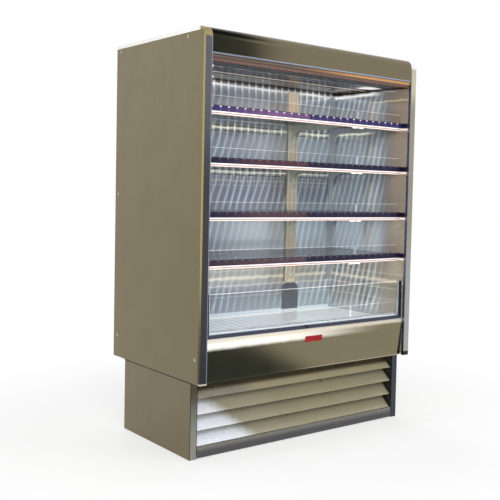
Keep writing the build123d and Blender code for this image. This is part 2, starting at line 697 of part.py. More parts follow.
def condenser_shroud():
    """Sheet box behind the coil with a round outlet for the fan."""
    x0, x1 = FAN_X - COIL_HALF, FAN_X + COIL_HALF
    y0, y1 = COIL_Y[1] + SLIP, SHROUD_BACK
    z0, z1 = COIL_Z
    shell = block(x0, x1, y0, y1, z0, z1)
    shell -= block(x0 + SHEET, x1 - SHEET, y0 - 1, y1 - SHEET, z0 + SHEET, z1 - SHEET)
    ring = rod_y(FAN_X, FAN_Z, FAN_R + 7, y1 - 14, y1) - rod_y(FAN_X, FAN_Z, FAN_R + 5, y1 - 20, y1 + 1)
    return shell - rod_y(FAN_X, FAN_Z, FAN_R + 5, y1 - 10, y1 + 5) + ring


def fan_motor(x, z, y0, y1, radius, reach, plate_y):
    """Fan motor, its shaft towards the front, on four arms whose feet stand on a plate."""
    arms = 4
    middle = (y0 + y1) / 2
    motor = rod_y(x, z, radius, y0, y1)
    motor = fillet(motor.edges().filter_by(GeomType.CIRCLE), 4.0)
    motor += rod_y(x, z, 4.0, y0 - 18, y0 + 2)
    for i in range(arms):
        arm = Pos(radius + (reach - radius) / 2 - 2, 0, 0) * Box(reach - radius + 4, 4, 10)
        foot = Pos(reach - 4, (plate_y - middle) / 2, 0) * Box(8, middle - plate_y, 10)
        motor += Pos(x, middle, z) * Rot(0, 45 + 360 / arms * i, 0) * (arm + foot)
    return motor


def fan_wheel(x, z, y, radius, blades, chord):
    """Axial fan: hub with a bore for the motor shaft, and pitched blades."""
    hub_r = radius * 0.27
    hub = rod_y(x, z, hub_r, y - 9, y + 9)
    hub = fillet(hub.edges().filter_by(GeomType.CIRCLE).sort_by(Axis.Y)[0], 3.0)
    for i in range(blades):
        span = radius - hub_r + 4
        blade = Pos(hub_r - 4 + span / 2, 0, 0) * Rot(28, 0, 0) * Box(span, 1.8, chord)
        hub += Pos(x, y, z) * Rot(0, 360 / blades * i, 0) * blade
    return hub - rod_y(x, z, 4.3, y - 2, y + 20)


CAN_X, CAN_Y = 760.0, 420.0
CAN_R, CAN_H = 88.0, 210.0


def compressor():
    """Hermetic compressor: welded can on a foot plate, with its terminal cover."""
    x, y, z = CAN_X, CAN_Y, FLOOR_Z
    plate = block(x - 105, x + 105, y - 85, y + 85, z, z + 4)
    can = fillet(rod_z(x, y, CAN_R, z + 16, z + 16 + CAN_H).edges().filter_by(GeomType.CIRCLE), 38)
    seam = rod_z(x, y, CAN_R + 3, z + 118, z + 123)
    cover = block(x - 122, x - 70, y - 32, y + 32, z + 70, z + 150)
    legs = [rod_z(x + a * 88, y + b * 68, 9, z + 2, z + 18) for a in (-1, 1) for b in (-1, 1)]
    skirt = block(x - 100, x + 100, y - 78, y + 78, z + 15, z + 19)
    return plate + can + seam + cover + legs + skirt


BOX_X, BOX_Y, BOX_H = (980.0, 1200.0), (300.0, 430.0), 190.0


def control_box():
    """Electrical box with its overlapping cover and the cable gland on its rear wall."""
    (x0, x1), (y0, y1), high = BOX_X, BOX_Y, FLOOR_Z + BOX_H
    box = fillet(block(x0, x1, y0, y1, FLOOR_Z, high).edges().filter_by(Axis.Z), 4.0)
    cover = block(x0 - 2, x1 + 2, y0 - 8, y0 + 6, FLOOR_Z + 6, high + 2)
    x, z = x1 - 40, FLOOR_Z + 60
    gland = rod_y(x, z, 12, y1 - 1, y1 + 12) - rod_y(x, z, 5, y1 + 2, y1 + 20)
    return box + cover + gland


def build_machine():
    """Condensing unit in the base."""
    x0, x1 = FAN_X - COIL_HALF, FAN_X + COIL_HALF
    save("condenser_coil", finned_coil(x0, x1, *COIL_Y, *COIL_Z, fins=60))
    save("condenser_shroud", condenser_shroud())
    save("condenser_motor", fan_motor(FAN_X, FAN_Z, SHROUD_BACK + 14, SHROUD_BACK + 74, 38.0, FAN_R + 20,
                                      SHROUD_BACK))
    save("condenser_fan", fan_wheel(FAN_X, FAN_Z, SHROUD_BACK - 7, FAN_R, 5, 52.0))
    save("compressor", compressor())
    save("control_box", control_box())


# ---------------------------------------------------------------- cooling, behind and below the deck
EVAP_FAN_X, EVAP_FAN_Z = WIDTH / 2, 468.0
EVAP_FAN_Y = 420.0
EVAP_FAN_R = 54.0
EVAP_Y, EVAP_Z = (630.0, 760.0), (640.0, 900.0)


def evaporator_motor():
    """Fan plate across the plenum under the deck, with the motor held behind its round hole."""
    low, high = BASE_TOP + SHEET + CORE_T + 0.3, DECK_Z - 6
    x, y, z = EVAP_FAN_X, EVAP_FAN_Y + 4, EVAP_FAN_Z
    plate = block(LINER_L + 18, LINER_R - 18, y, y + SHEET, low, high)
    plate -= rod_y(x, z, EVAP_FAN_R + 4, y - 1, y + SHEET + 1)
    return plate + fan_motor(x, z, y + 18, y + 52, 24.0, EVAP_FAN_R + 16, y + SHEET / 2)


def build_cooling():
    """Coil behind the duct panel and the fan under the deck."""
    save("evaporator_coil", finned_coil(LINER_L + 50, LINER_R - 70, *EVAP_Y, *EVAP_Z, fins=110,
                                        wall_y=FOAM_BACK - CORE_T))
    save("evaporator_motor", evaporator_motor())
    save("evaporator_fan", fan_wheel(EVAP_FAN_X, EVAP_FAN_Z, EVAP_FAN_Y + 5, EVAP_FAN_R, 4, 34.0))


def build_body():
    """Insulated body, its sheets and the shelf standards."""
    save("outer_wrap", outer_wrap())
    save("insulated_tub", insulated_tub())
    liner = side_liner()
    save("liner_left", liner)
    save("liner_right", other_side(liner))
    save("duct_panel", duct_panel())
    save("shelf_standards", *shelf_standards())


def main():
    """Write every node."""
    os.makedirs("parts", exist_ok=True)
    build_ends()
    build_body()
    build_shelves()
    build_canopy()
    build_deck()
    build_base()
    build_machine()
    build_cooling()


main()
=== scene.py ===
"""Looks for an open multideck display fridge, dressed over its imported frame.

Sizes are in millimetres from the cabinet's left outer side, front plane and floor.
``at`` turns such a point into the frame's own metres.
"""

import logging
import math
from dataclasses import dataclass
from enum import Enum
from typing import Callable, Iterable, Sequence

import bpy
from mathutils import Matrix, Vector


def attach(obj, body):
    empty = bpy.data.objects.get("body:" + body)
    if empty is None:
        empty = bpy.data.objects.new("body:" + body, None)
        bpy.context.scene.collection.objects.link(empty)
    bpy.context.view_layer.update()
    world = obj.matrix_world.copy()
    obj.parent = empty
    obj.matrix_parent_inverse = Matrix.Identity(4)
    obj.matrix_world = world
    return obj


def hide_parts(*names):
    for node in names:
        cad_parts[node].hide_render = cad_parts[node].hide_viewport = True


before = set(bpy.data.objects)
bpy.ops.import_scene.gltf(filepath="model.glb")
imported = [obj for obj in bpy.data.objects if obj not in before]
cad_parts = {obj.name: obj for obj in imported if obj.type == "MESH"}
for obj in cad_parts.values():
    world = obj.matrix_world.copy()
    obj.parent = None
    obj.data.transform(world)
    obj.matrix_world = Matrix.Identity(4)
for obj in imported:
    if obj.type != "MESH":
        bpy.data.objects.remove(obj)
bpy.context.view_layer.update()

LOG = logging.getLogger("display_fridge")

WIDTH, DEPTH = 1295.0, 826.0
MM = 0.001
SAME_PLACE = 1e-5          # metres: nearer than this is the same place
STRAIGHT = 0.99            # share of a direction that counts as along an axis
SHARP_ANGLE = 40.0         # edges sharper than this, in degrees, are rounded
SMOOTH_ANGLE = 35.0        # edges flatter than this are shaded smooth
SHELF_TOPS = (1577.0, 1348.4, 1107.1, 891.2)
SECTION_JOINT = 952.0
LINER_L, LINER_R = 39.3, 1255.7
DUCT_Y = 614.0             # front of the duct panel
SHELF_FRONT = 55.0
LAMP_PITCH = 44.0          # spacing of the light chips

Colour = tuple[float, float, float]
Point = tuple[float, float, float]
Socket = bpy.types.NodeSocket


def at(x: float, y: float, z: float) -> Vector:
    """A point given in the cabinet's millimetres, in the frame's metres."""
    return Vector(((x - WIDTH / 2) * MM, (y - DEPTH / 2) * MM, z * MM))


def tone(red: int, green: int, blue: int) -> Colour:
    """A linear colour from display values of 0 to 255.

    Args:
        red: Display value of red.
        green: Display value of green.
        blue: Display value of blue.

    Returns:
        The colour as the shader reads it.
    """
    def linear(value: float) -> float:
        """One display value as linear light."""
        share = value / 255
        return share / 12.92 if share <= 0.04045 else ((share + 0.055) / 1.055) ** 2.4

    return linear(red), linear(green), linear(blue)


class Axis(Enum):
    """Direction in the cabinet: across, back and up."""

    X = 0
    Y = 1
    Z = 2

    def metres(self, value: float) -> float:
        """A millimetre coordinate on this axis, in the frame's metres."""
        return at(value, value, value)[self.value]


class Part(Enum):
    """What edit mode selects."""

    VERT = (True, False, False)
    EDGE = (False, True, False)
    FACE = (False, False, True)


# ---------------------------------------------------------------- modelling
def take(*objects: bpy.types.Object) -> None:
    """Select only these objects, the first one active.

    Args:
        *objects: What the next operator acts on.
    """
    if bpy.context.mode != "OBJECT":
        bpy.ops.object.mode_set(mode="OBJECT")
    bpy.ops.object.select_all(action="DESELECT")
    for piece in objects:
        piece.select_set(True)
    if objects:
        bpy.context.view_layer.objects.active = objects[0]


def settle(piece: bpy.types.Object) -> bpy.types.Object:
    """Put a piece's place, turn and size into its mesh.

    Args:
        piece: The mesh object.

    Returns:
        The same piece.
    """
    take(piece)
    bpy.ops.object.transform_apply(location=True, rotation=True, scale=True)
    return piece


def block(low: Point, high: Point) -> bpy.types.Object:
    """A box between two corners, as a start for edit mode.

    Args:
        low: Lowest corner, in millimetres.
        high: Highest corner, in millimetres.

    Returns:
        The new object, settled.
    """
    take()
    a, b = at(*low), at(*high)
    bpy.ops.mesh.primitive_cube_add(size=1, location=(a + b) / 2)
    piece = bpy.context.object
    piece.scale = b - a
    return settle(piece)


def bar(start: Point, end: Point, radius: float, sides: int = 24,
        end_radius: float | None = None) -> bpy.types.Object:
    """A round bar or cone between two points, as a start for edit mode.

    Args:
        start: Middle of one end, in millimetres.
        end: Middle of the other end.
        radius: Radius at the start.
        sides: Number of flat sides.
        end_radius: Radius at the end, where it differs.

    Returns:
        The new object, settled.
    """
    take()
    a, b = at(*start), at(*end)
    turn = (b - a).to_track_quat("Z", "Y").to_euler()
    bpy.ops.mesh.primitive_cone_add(
        vertices=sides, radius1=radius * MM, depth=(b - a).length, location=(a + b) / 2,
        radius2=(radius if end_radius is None else end_radius) * MM, rotation=turn)
    return settle(bpy.context.object)


def pick(piece: bpy.types.Object, part: Part, test: Callable[[Vector, Vector], bool]) -> None:
    """Go into edit mode with the parts selected whose place passes a test.

    Args:
        piece: The mesh to work on.
        part: Faces, edges or corners.
        test: Called with a part's middle and its normal or direction, in metres.
    """
    take(piece)
    mesh = piece.data
    for group in (mesh.vertices, mesh.edges, mesh.polygons):
        group.foreach_set("select", [False] * len(group))
    points = mesh.vertices
    if part is Part.FACE:
        for face in mesh.polygons:
            face.select = test(face.center.copy(), face.normal.copy())
            for index in face.vertices if face.select else ():
                points[index].select = True
    elif part is Part.EDGE:
        for edge in mesh.edges:
            a, b = (points[index].co for index in edge.vertices)
            edge.select = test((a + b) / 2, (b - a).normalized())
            for index in edge.vertices if edge.select else ():
                points[index].select = True
    else:
        for point in points:
            point.select = test(point.co.copy(), point.normal.copy())
    bpy.context.tool_settings.mesh_select_mode = part.value
    bpy.ops.object.mode_set(mode="EDIT")


def leave_edit() -> None:
    """Back to object mode."""
    bpy.ops.object.mode_set(mode="OBJECT")


def round_edges(piece: bpy.types.Object, radius: float, steps: int = 2) -> bpy.types.Object:
    """Round every sharp edge with a bevel that is applied.

    Args:
        piece: The mesh to round.
        radius: Width of the bevel, in millimetres.
        steps: Faces across it.

    Returns:
        The same piece.
    """
    take(piece)
    bevel = piece.modifiers.new("round", "BEVEL")
    bevel.width, bevel.segments = radius * MM, steps
    bevel.limit_method, bevel.angle_limit = "ANGLE", math.radians(SHARP_ANGLE)
    bpy.ops.object.modifier_apply(modifier=bevel.name)
    return piece


def bevel_edges(piece: bpy.types.Object, size: float, steps: int,
                test: Callable[[Vector, Vector], bool]) -> None:
    """Bevel the edges whose middle and direction pass a test.

    Args:
        piece: The mesh to work on.
        size: Width of the bevel, in millimetres.
        steps: Faces across it.
        test: Called with an edge's middle and direction, in metres.
    """
    pick(piece, Part.EDGE, test)
    bpy.ops.mesh.bevel(offset=size * MM, segments=steps, affect="EDGES")
    leave_edit()


def inset_face(piece: bpy.types.Object, facing: Vector, rim: float, depth: float) -> None:
    """Inset the faces that look one way and move them in or out.

    Args:
        piece: The mesh to work on.
        facing: Direction that the faces look in.
        rim: Width of the rim that stays, in millimetres.
        depth: How far they move outwards, negative for inwards.
    """
    pick(piece, Part.FACE, lambda place, normal: normal.dot(facing) > STRAIGHT)
    bpy.ops.mesh.inset(thickness=rim * MM, depth=depth * MM)
    leave_edit()


def folded(profile: Sequence[tuple[float, float]], x0: float, x1: float,
           thick: float) -> bpy.types.Object:
    """Sheet folded along a side profile: an edge is extruded from point to point.

    Args:
        profile: Points (y, z) in millimetres, in order.
        x0: Left end.
        x1: Right end.
        thick: Sheet thickness.

    Returns:
        The new object, with its thickness applied.
    """
    take()
    (y0, z0), (y1, z1) = profile[:2]
    bpy.ops.mesh.primitive_plane_add(size=1)
    piece = bpy.context.object
    corners = (at(x0, y0, z0), at(x1, y0, z0), at(x0, y1, z1), at(x1, y1, z1))
    for point, corner in zip(piece.data.vertices, corners):
        point.co = corner
    last = at(0, y1, z1)
    for y, z in profile[2:]:
        here = last.copy()
        pick(piece, Part.EDGE, lambda place, way: abs(way.x) > STRAIGHT
             and (place.yz - here.yz).length < SAME_PLACE)
        nxt = at(0, y, z)
        bpy.ops.mesh.extrude_region_move(TRANSFORM_OT_translate={"value": nxt - here})
        leave_edit()
        last = nxt
    take(piece)
    sheet = piece.modifiers.new("sheet", "SOLIDIFY")
    sheet.thickness, sheet.offset = thick * MM, 0
    bpy.ops.object.modifier_apply(modifier=sheet.name)
    return piece


def copy_of(piece: bpy.types.Object, x: float = 0, y: float = 0, z: float = 0) -> bpy.types.Object:
    """A copy with its own mesh, moved by millimetres.

    Args:
        piece: What is copied.
        x: Move across.
        y: Move backwards.
        z: Move up.

    Returns:
        The copy.
    """
    twin = piece.copy()
    twin.data = piece.data.copy()
    bpy.context.scene.collection.objects.link(twin)
    twin.data.transform(Matrix.Translation(Vector((x, y, z)) * MM))
    return twin


def mirrored(piece: bpy.types.Object) -> bpy.types.Object:
    """A copy on the cabinet's other side, its faces turned outwards again.

    Args:
        piece: What is mirrored.

    Returns:
        The copy.
    """
    twin = copy_of(piece)
    twin.data.transform(Matrix.Scale(-1, 4, (1, 0, 0)))
    pick(twin, Part.FACE, lambda place, normal: True)
    bpy.ops.mesh.normals_make_consistent(inside=False)
    leave_edit()
    return twin


def join(pieces: Sequence[bpy.types.Object]) -> bpy.types.Object:
    """Join pieces into the first one.

    Args:
        pieces: What is joined.

    Returns:
        The joined piece.
    """
    take(*pieces)
    if len(pieces) > 1:
        bpy.ops.object.join()
    return pieces[0]


def cut(piece: bpy.types.Object, tool: bpy.types.Object) -> bpy.types.Object:
    """Cut one solid out of another, and drop the cutting solid.

    Args:
        piece: The solid that is cut.
        tool: The solid that cuts.

    Returns:
        The cut piece.
    """
    take(piece)
    step = piece.modifiers.new("cut", "BOOLEAN")
    step.operation, step.object, step.solver = "DIFFERENCE", tool, "EXACT"
    bpy.ops.object.modifier_apply(modifier=step.name)
    bpy.data.objects.remove(tool)
    return piece


def tube(points: Sequence[Point], radius: float) -> bpy.types.Object:
    """A bent pipe along a smooth line near the given points.

    Args:
        points: Route of the middle line, in millimetres.
        radius: Outer radius.

    Returns:
        The pipe as a closed mesh.
    """
    take()
    bpy.ops.curve.primitive_nurbs_path_add()
    pipe = bpy.context.object
    spline = pipe.data.splines[0]
    missing = len(points) - len(spline.points)
    if missing < 0:
        raise ValueError("a pipe's route has at least five points")
    spline.points.add(missing)
    for knot, point in zip(spline.points, points):
        knot.co = (*at(*point), 1)
    spline.order_u, spline.use_endpoint_u, spline.resolution_u = 3, True, 8
    pipe.data.bevel_depth, pipe.data.bevel_resolution = radius * MM, 4
    pipe.data.use_fill_caps = True
    bpy.ops.object.convert(target="MESH")
    return settle(bpy.context.object)


# ---------------------------------------------------------------- node sheets
class NodeSheet:
    """A node tree, with short ways to add and join its nodes."""

    def __init__(self, tree: bpy.types.NodeTree) -> None:
        """Keep the tree that the nodes go into."""
        self.tree = tree

    def put(self, socket: Socket, value: object) -> None:
        """Join a socket to another, or set its value.

        Args:
            socket: The input.
            value: A socket, a plain value, or None to leave it.
        """
        if isinstance(value, bpy.types.NodeSocket):
            self.tree.links.new(value, socket)
        elif value is not None:
            socket.default_value = value

    def add(self, kind: str, inputs: dict[str | int, object] | None = None,
            **settings: object) -> bpy.types.Node:
        """Add a node.

        Args:
            kind: Its type, without the ShaderNode in front.
            inputs: Values or sockets for its inputs, by name or place.
            **settings: Its own settings.

        Returns:
            The node.
        """
        node = self.tree.nodes.new("ShaderNode" + kind)
        for key, value in settings.items():
            setattr(node, key, value)
        for key, value in (inputs or {}).items():
            self.put(node.inputs[key], value)
        return node

    def math(self, operation: str, a: object, b: object = None) -> Socket:
        """One step of arithmetic."""
        return self.add("Math", {0: a, 1: b}, operation=operation).outputs[0]

    def mix(self, factor: object, a: object, b: object) -> Socket:
        """Blend two colours, each a socket or three numbers."""
        first, second = ((*value, 1) if isinstance(value, tuple) else value for value in (a, b))
        return self.add("Mix", {0: factor, 6: first, 7: second}, data_type="RGBA").outputs[2]

    def span(self, value: object, low: float, high: float, to_low: float = 0.0,
             to_high: float = 1.0, smooth: bool = False) -> Socket:
        """Map a value from one span to another, held at its ends.

        Args:
            value: What is mapped.
            low: Start of its span.
            high: End of its span.
            to_low: Result at the start.
            to_high: Result at the end.
            smooth: Whether the ramp eases in and out.

        Returns:
            The result.
        """
        kind = "SMOOTHSTEP" if smooth else "LINEAR"
        return self.add("MapRange", {0: value, 1: low, 2: high, 3: to_low, 4: to_high},
                        interpolation_type=kind).outputs[0]

    def noise(self, vector: Socket, scale: float, detail: float = 3.0,
              rough: float = 0.5) -> Socket:
        """Plain noise on a vector."""
        return self.add("TexNoise", {"Vector": vector, "Scale": scale, "Detail": detail,
                                     "Roughness": rough}).outputs["Fac"]

    def seen(self) -> Socket:
        """1 for rays from the camera, from bright metal and through glass, otherwise 0.

        Returns:
            The share.
        """
        rays = self.add("LightPath").outputs
        return self.math("MAXIMUM", rays["Is Camera Ray"], self.math(
            "MAXIMUM", rays["Is Glossy Ray"], rays["Is Transmission Ray"]))

    def group(self, tree: bpy.types.NodeTree, inputs: dict[str | int, object]) -> bpy.types.Node:
        """Place a node group.

        Args:
            tree: The group.
            inputs: Values or sockets by name.

        Returns:
            The group's node.
        """
        node = self.tree.nodes.new("ShaderNodeGroup")
        node.node_tree = tree
        for key, value in inputs.items():
            self.put(node.inputs[key], value)
        return node


class Effects:
    """Node groups that several finishes share, each built once."""

    _made: dict[str, bpy.types.NodeTree] = {}

    @classmethod
    def _start(cls, name: str, inputs: Iterable[tuple[str, str, object]],
               outputs: Iterable[str]) -> tuple[NodeSheet, Socket, bpy.types.Node]:
        """Begin a group.

        Args:
            name: The group's name.
            inputs: Name, socket type and first value of each input.
            outputs: Names of its value outputs.

        Returns:
            The sheet, the group's inputs node and its outputs node.
        """
        tree = bpy.data.node_groups.new(name, "ShaderNodeTree")
        for label, kind, value in inputs:
            socket = tree.interface.new_socket(label, in_out="INPUT", socket_type=kind)
            if value is not None:
                socket.default_value = value
        for label in outputs:
            tree.interface.new_socket(label, in_out="OUTPUT", socket_type="NodeSocketFloat")
        cls._made[name] = tree
        return (NodeSheet(tree), tree.nodes.new("NodeGroupInput"),
                tree.nodes.new("NodeGroupOutput"))

    @classmethod
    def grain(cls) -> bpy.types.NodeTree:
        """Brushing: long fine lines over broader soft ones.

        Returns:
            The group.
        """
        name = "brushed_grain"
        if name not in cls._made:
            sheet, ins, outs = cls._start(name, (
                ("Coord", "NodeSocketVector", None), ("Stretch", "NodeSocketVector", (1, 1, 1))),
                ("Shade", "Height"))
            drawn = sheet.add("VectorMath", {0: ins.outputs["Coord"], 1: ins.outputs["Stretch"]},
                              operation="MULTIPLY").outputs[0]
            fine = sheet.noise(drawn, 9.0, 4.0, 0.6)
            broad = sheet.noise(drawn, 1.1, 2.0, 0.5)
            cloud = sheet.noise(ins.outputs["Coord"], 2.3, 3.0)
            both = sheet.math("ADD", sheet.math("MULTIPLY", fine, 0.35),
                              sheet.math("MULTIPLY", broad, 0.4))
            shade = sheet.math("ADD", both, sheet.math("MULTIPLY", cloud, 0.25))
            sheet.put(outs.inputs["Shade"], shade)
            sheet.put(outs.inputs["Height"], fine)
        return cls._made[name]

    @classmethod
    def zone(cls) -> bpy.types.NodeTree:
        """Mask that is 1 between two places along an axis, with soft and ragged ends.

        Returns:
            The group.
        """
        name = "zone_mask"
        if name not in cls._made:
            number = "NodeSocketFloat"
            sheet, ins, outs = cls._start(name, (
                ("Value", number, 0.0), ("Low", number, 0.0), ("High", number, 1.0),
                ("Soft", number, 0.001), ("Ragged", number, 0.0),
                ("Coord", "NodeSocketVector", None)), ("Mask",))
            take_in = ins.outputs
            stir = sheet.math("SUBTRACT", sheet.noise(take_in["Coord"], 26.0, 3.0), 0.5)
            value = sheet.math("ADD", take_in["Value"],
                               sheet.math("MULTIPLY", stir, take_in["Ragged"]))
            soft = take_in["Soft"]
            rise, fall = (sheet.add("MapRange", {
                0: value, 1: sheet.math("SUBTRACT", take_in[end], soft),
                2: sheet.math("ADD", take_in[end], soft), 3: start, 4: 1.0 - start},
                interpolation_type="SMOOTHSTEP").outputs[0]
                for end, start in (("Low", 0.0), ("High", 1.0)))
            sheet.put(outs.inputs["Mask"], sheet.math("MULTIPLY", rise, fall))
        return cls._made[name]

    @classmethod
    def streaks(cls) -> bpy.types.NodeTree:
        """Tall wavering light lines, as a row of lamps draws in bright sheet.

        Returns:
            The group.
        """
        name = "light_streaks"
        if name not in cls._made:
            number = "NodeSocketFloat"
            sheet, ins, outs = cls._start(name, (
                ("Along", number, 0.0), ("Pitch", number, 0.038), ("Bend", number, 0.02),
                ("Coord", "NodeSocketVector", None)), ("Mask",))
            pull = ins.outputs
            sway = sheet.math("SUBTRACT", sheet.noise(pull["Coord"], 5.0, 1.0), 0.5)
            place = sheet.math("ADD", pull["Along"], sheet.math("MULTIPLY", sway, pull["Bend"]))
            turns = sheet.math("MULTIPLY", sheet.math("DIVIDE", place, pull["Pitch"]), math.tau)
            wave = sheet.span(sheet.math("SINE", turns), -0.1, 1.0, 0.0, 1.0, True)
            patch = sheet.span(sheet.noise(pull["Coord"], 3.1, 2.0), 0.38, 0.66, 0.3, 1.0)
            sheet.put(outs.inputs["Mask"], sheet.math("MULTIPLY", wave, patch))
        return cls._made[name]

    @classmethod
    def glow_line(cls) -> bpy.types.NodeTree:
        """Bright line with a soft fall-off, and a spike wherever a lamp stands.

        Returns:
            The group.
        """
        name = "glow_line"
        if name not in cls._made:
            number = "NodeSocketFloat"
            sheet, ins, outs = cls._start(name, (
                ("Along", number, 0.0), ("Height", number, 0.0), ("Line", number, 1.0),
                ("Width", number, 0.01), ("Pitch", number, 0.044),
                ("Coord", "NodeSocketVector", None)), ("Mask",))
            pull = ins.outputs
            turns = sheet.math("MULTIPLY", sheet.math(
                "DIVIDE", pull["Along"], pull["Pitch"]), math.tau)
            crest = sheet.span(sheet.math("SINE", turns), 0.5, 1.0, 0.55, 2.6, True)
            sway = sheet.math("SUBTRACT", sheet.noise(pull["Coord"], 4.0, 2.0), 0.5)
            gap = sheet.math("SUBTRACT", pull["Height"], sheet.math(
                "ADD", pull["Line"], sheet.math("MULTIPLY", sway, 0.02)))
            wide = sheet.math("MULTIPLY", pull["Width"], crest)
            share = sheet.math("POWER", sheet.math("DIVIDE", gap, wide), 2.0)
            fall = sheet.math("DIVIDE", 1.0, sheet.math("ADD", share, 1.0))
            fade = sheet.span(sheet.noise(pull["Coord"], 2.6, 1.0), 0.35, 0.6, 0.35, 1.0)
            sheet.put(outs.inputs["Mask"], sheet.math("MULTIPLY", fall, fade))
        return cls._made[name]

    @classmethod
    def mottle(cls) -> bpy.types.NodeTree:
        """Soft cloudy handling marks and dust.

        Returns:
            The group.
        """
        name = "mottle"
        if name not in cls._made:
            sheet, ins, outs = cls._start(name, (
                ("Coord", "NodeSocketVector", None), ("Scale", "NodeSocketFloat", 8.0)),
                ("Cloud", "Speck"))
            coord = ins.outputs["Coord"]
            cloud = sheet.add("TexNoise", {"Vector": coord, "Scale": ins.outputs["Scale"],
                                           "Detail": 5.0, "Roughness": 0.6}).outputs["Fac"]
            speck = sheet.span(sheet.noise(coord, 420.0, 2.0), 0.62, 0.72)
            sheet.put(outs.inputs["Cloud"], cloud)
            sheet.put(outs.inputs["Speck"], speck)
        return cls._made[name]


# ---------------------------------------------------------------- finishes
@dataclass(frozen=True)
class Zone:
    """A band of colour along an axis, in millimetres of the cabinet.

    ``lean`` tilts the band: that share of the height is added to the place.
    ``within`` holds it to a second band.
    """

    axis: Axis
    low: float
    high: float
    colour: Colour = (1.0, 1.0, 1.0)
    soft: float = 1.0
    amount: float = 1.0
    ragged: float = 0.0
    lean: float = 0.0
    within: "Zone | None" = None


@dataclass(frozen=True)
class Streaks:
    """Wavering light lines along an axis.

    ``zones`` weaken the lines outside themselves, and ``glare`` is where they also give light.
    """

    axis: Axis
    colour: Colour
    pitch: float = LAMP_PITCH
    bend: float = 34.0
    lean: float = 0.0
    amount: float = 0.55
    zones: tuple[Zone, ...] = ()
    glare: Zone | None = None


@dataclass(frozen=True)
class GlowLine:
    """Reflection of a row of lamps: a bright line across at one height."""

    height: float
    width: float
    amount: float
    colour: Colour = (1.0, 1.0, 1.0)


@dataclass(frozen=True)
class Finish:
    """What every finish has: its name, and the record's slot that it stands for."""

    name: str
    slot: str
    colour: Colour

    def sheet(self) -> tuple[bpy.types.Material, NodeSheet, bpy.types.Node, Socket]:
        """A new material with a shader and its object coordinates.

        Returns:
            The material, its node sheet, its shader and the coordinates.
        """
        material = bpy.data.materials.new(self.name)
        material.use_nodes = True
        sheet = NodeSheet(material.node_tree)
        shader = material.node_tree.nodes["Principled BSDF"]
        coord = sheet.add("TexCoord").outputs["Object"]
        return material, sheet, shader, coord

    def along(self, sheet: NodeSheet, coord: Socket, axis: Axis) -> Socket:
        """One coordinate of the piece."""
        return sheet.add("SeparateXYZ", {0: coord}).outputs[axis.value]

    def mask(self, sheet: NodeSheet, coord: Socket, zone: Zone) -> Socket:
        """Where a zone lies.

        Args:
            sheet: The material's nodes.
            coord: Object coordinates.
            zone: The band.

        Returns:
            A mask of 0 to 1.
        """
        value = self.along(sheet, coord, zone.axis)
        if zone.lean:
            rise = sheet.math("MULTIPLY", self.along(sheet, coord, Axis.Z), zone.lean)
            value = sheet.math("ADD", value, rise)
        mask = sheet.group(Effects.zone(), {
            "Value": value, "Low": zone.axis.metres(zone.low),
            "High": zone.axis.metres(zone.high), "Soft": zone.soft * MM,
            "Ragged": zone.ragged * MM, "Coord": coord}).outputs["Mask"]
        if zone.within:
            mask = sheet.math("MULTIPLY", mask, self.mask(sheet, coord, zone.within))
        return mask

    def paint_zones(self, sheet: NodeSheet, coord: Socket, colour: object,
                    zones: Sequence[Zone]) -> object:
        """Lay the zones over a colour, in order.

        Args:
            sheet: The material's nodes.
            coord: Object coordinates.
            colour: What lies under them, a socket or three numbers.
            zones: The bands, from the lowest up.

        Returns:
            The colour with the zones on it.
        """
        for zone in zones:
            share = sheet.math("MULTIPLY", self.mask(sheet, coord, zone), zone.amount)
            colour = sheet.mix(share, colour, zone.colour)
        return colour

    def bump(self, sheet: NodeSheet, shader: bpy.types.Node, height: Socket,
             strength: float, depth: float) -> None:
        """Raise the surface by a height map.

        Args:
            sheet: The material's nodes.
            shader: Its shader.
            height: The map.
            strength: Share of the effect.
            depth: Height of the map, in millimetres.
        """
        node = sheet.add("Bump", {"Height": height, "Strength": strength, "Distance": depth * MM})
        sheet.put(shader.inputs["Normal"], node.outputs["Normal"])

    def build(self) -> bpy.types.Material:
        """Make the material.

        Returns:
            The material.
        """
        raise NotImplementedError


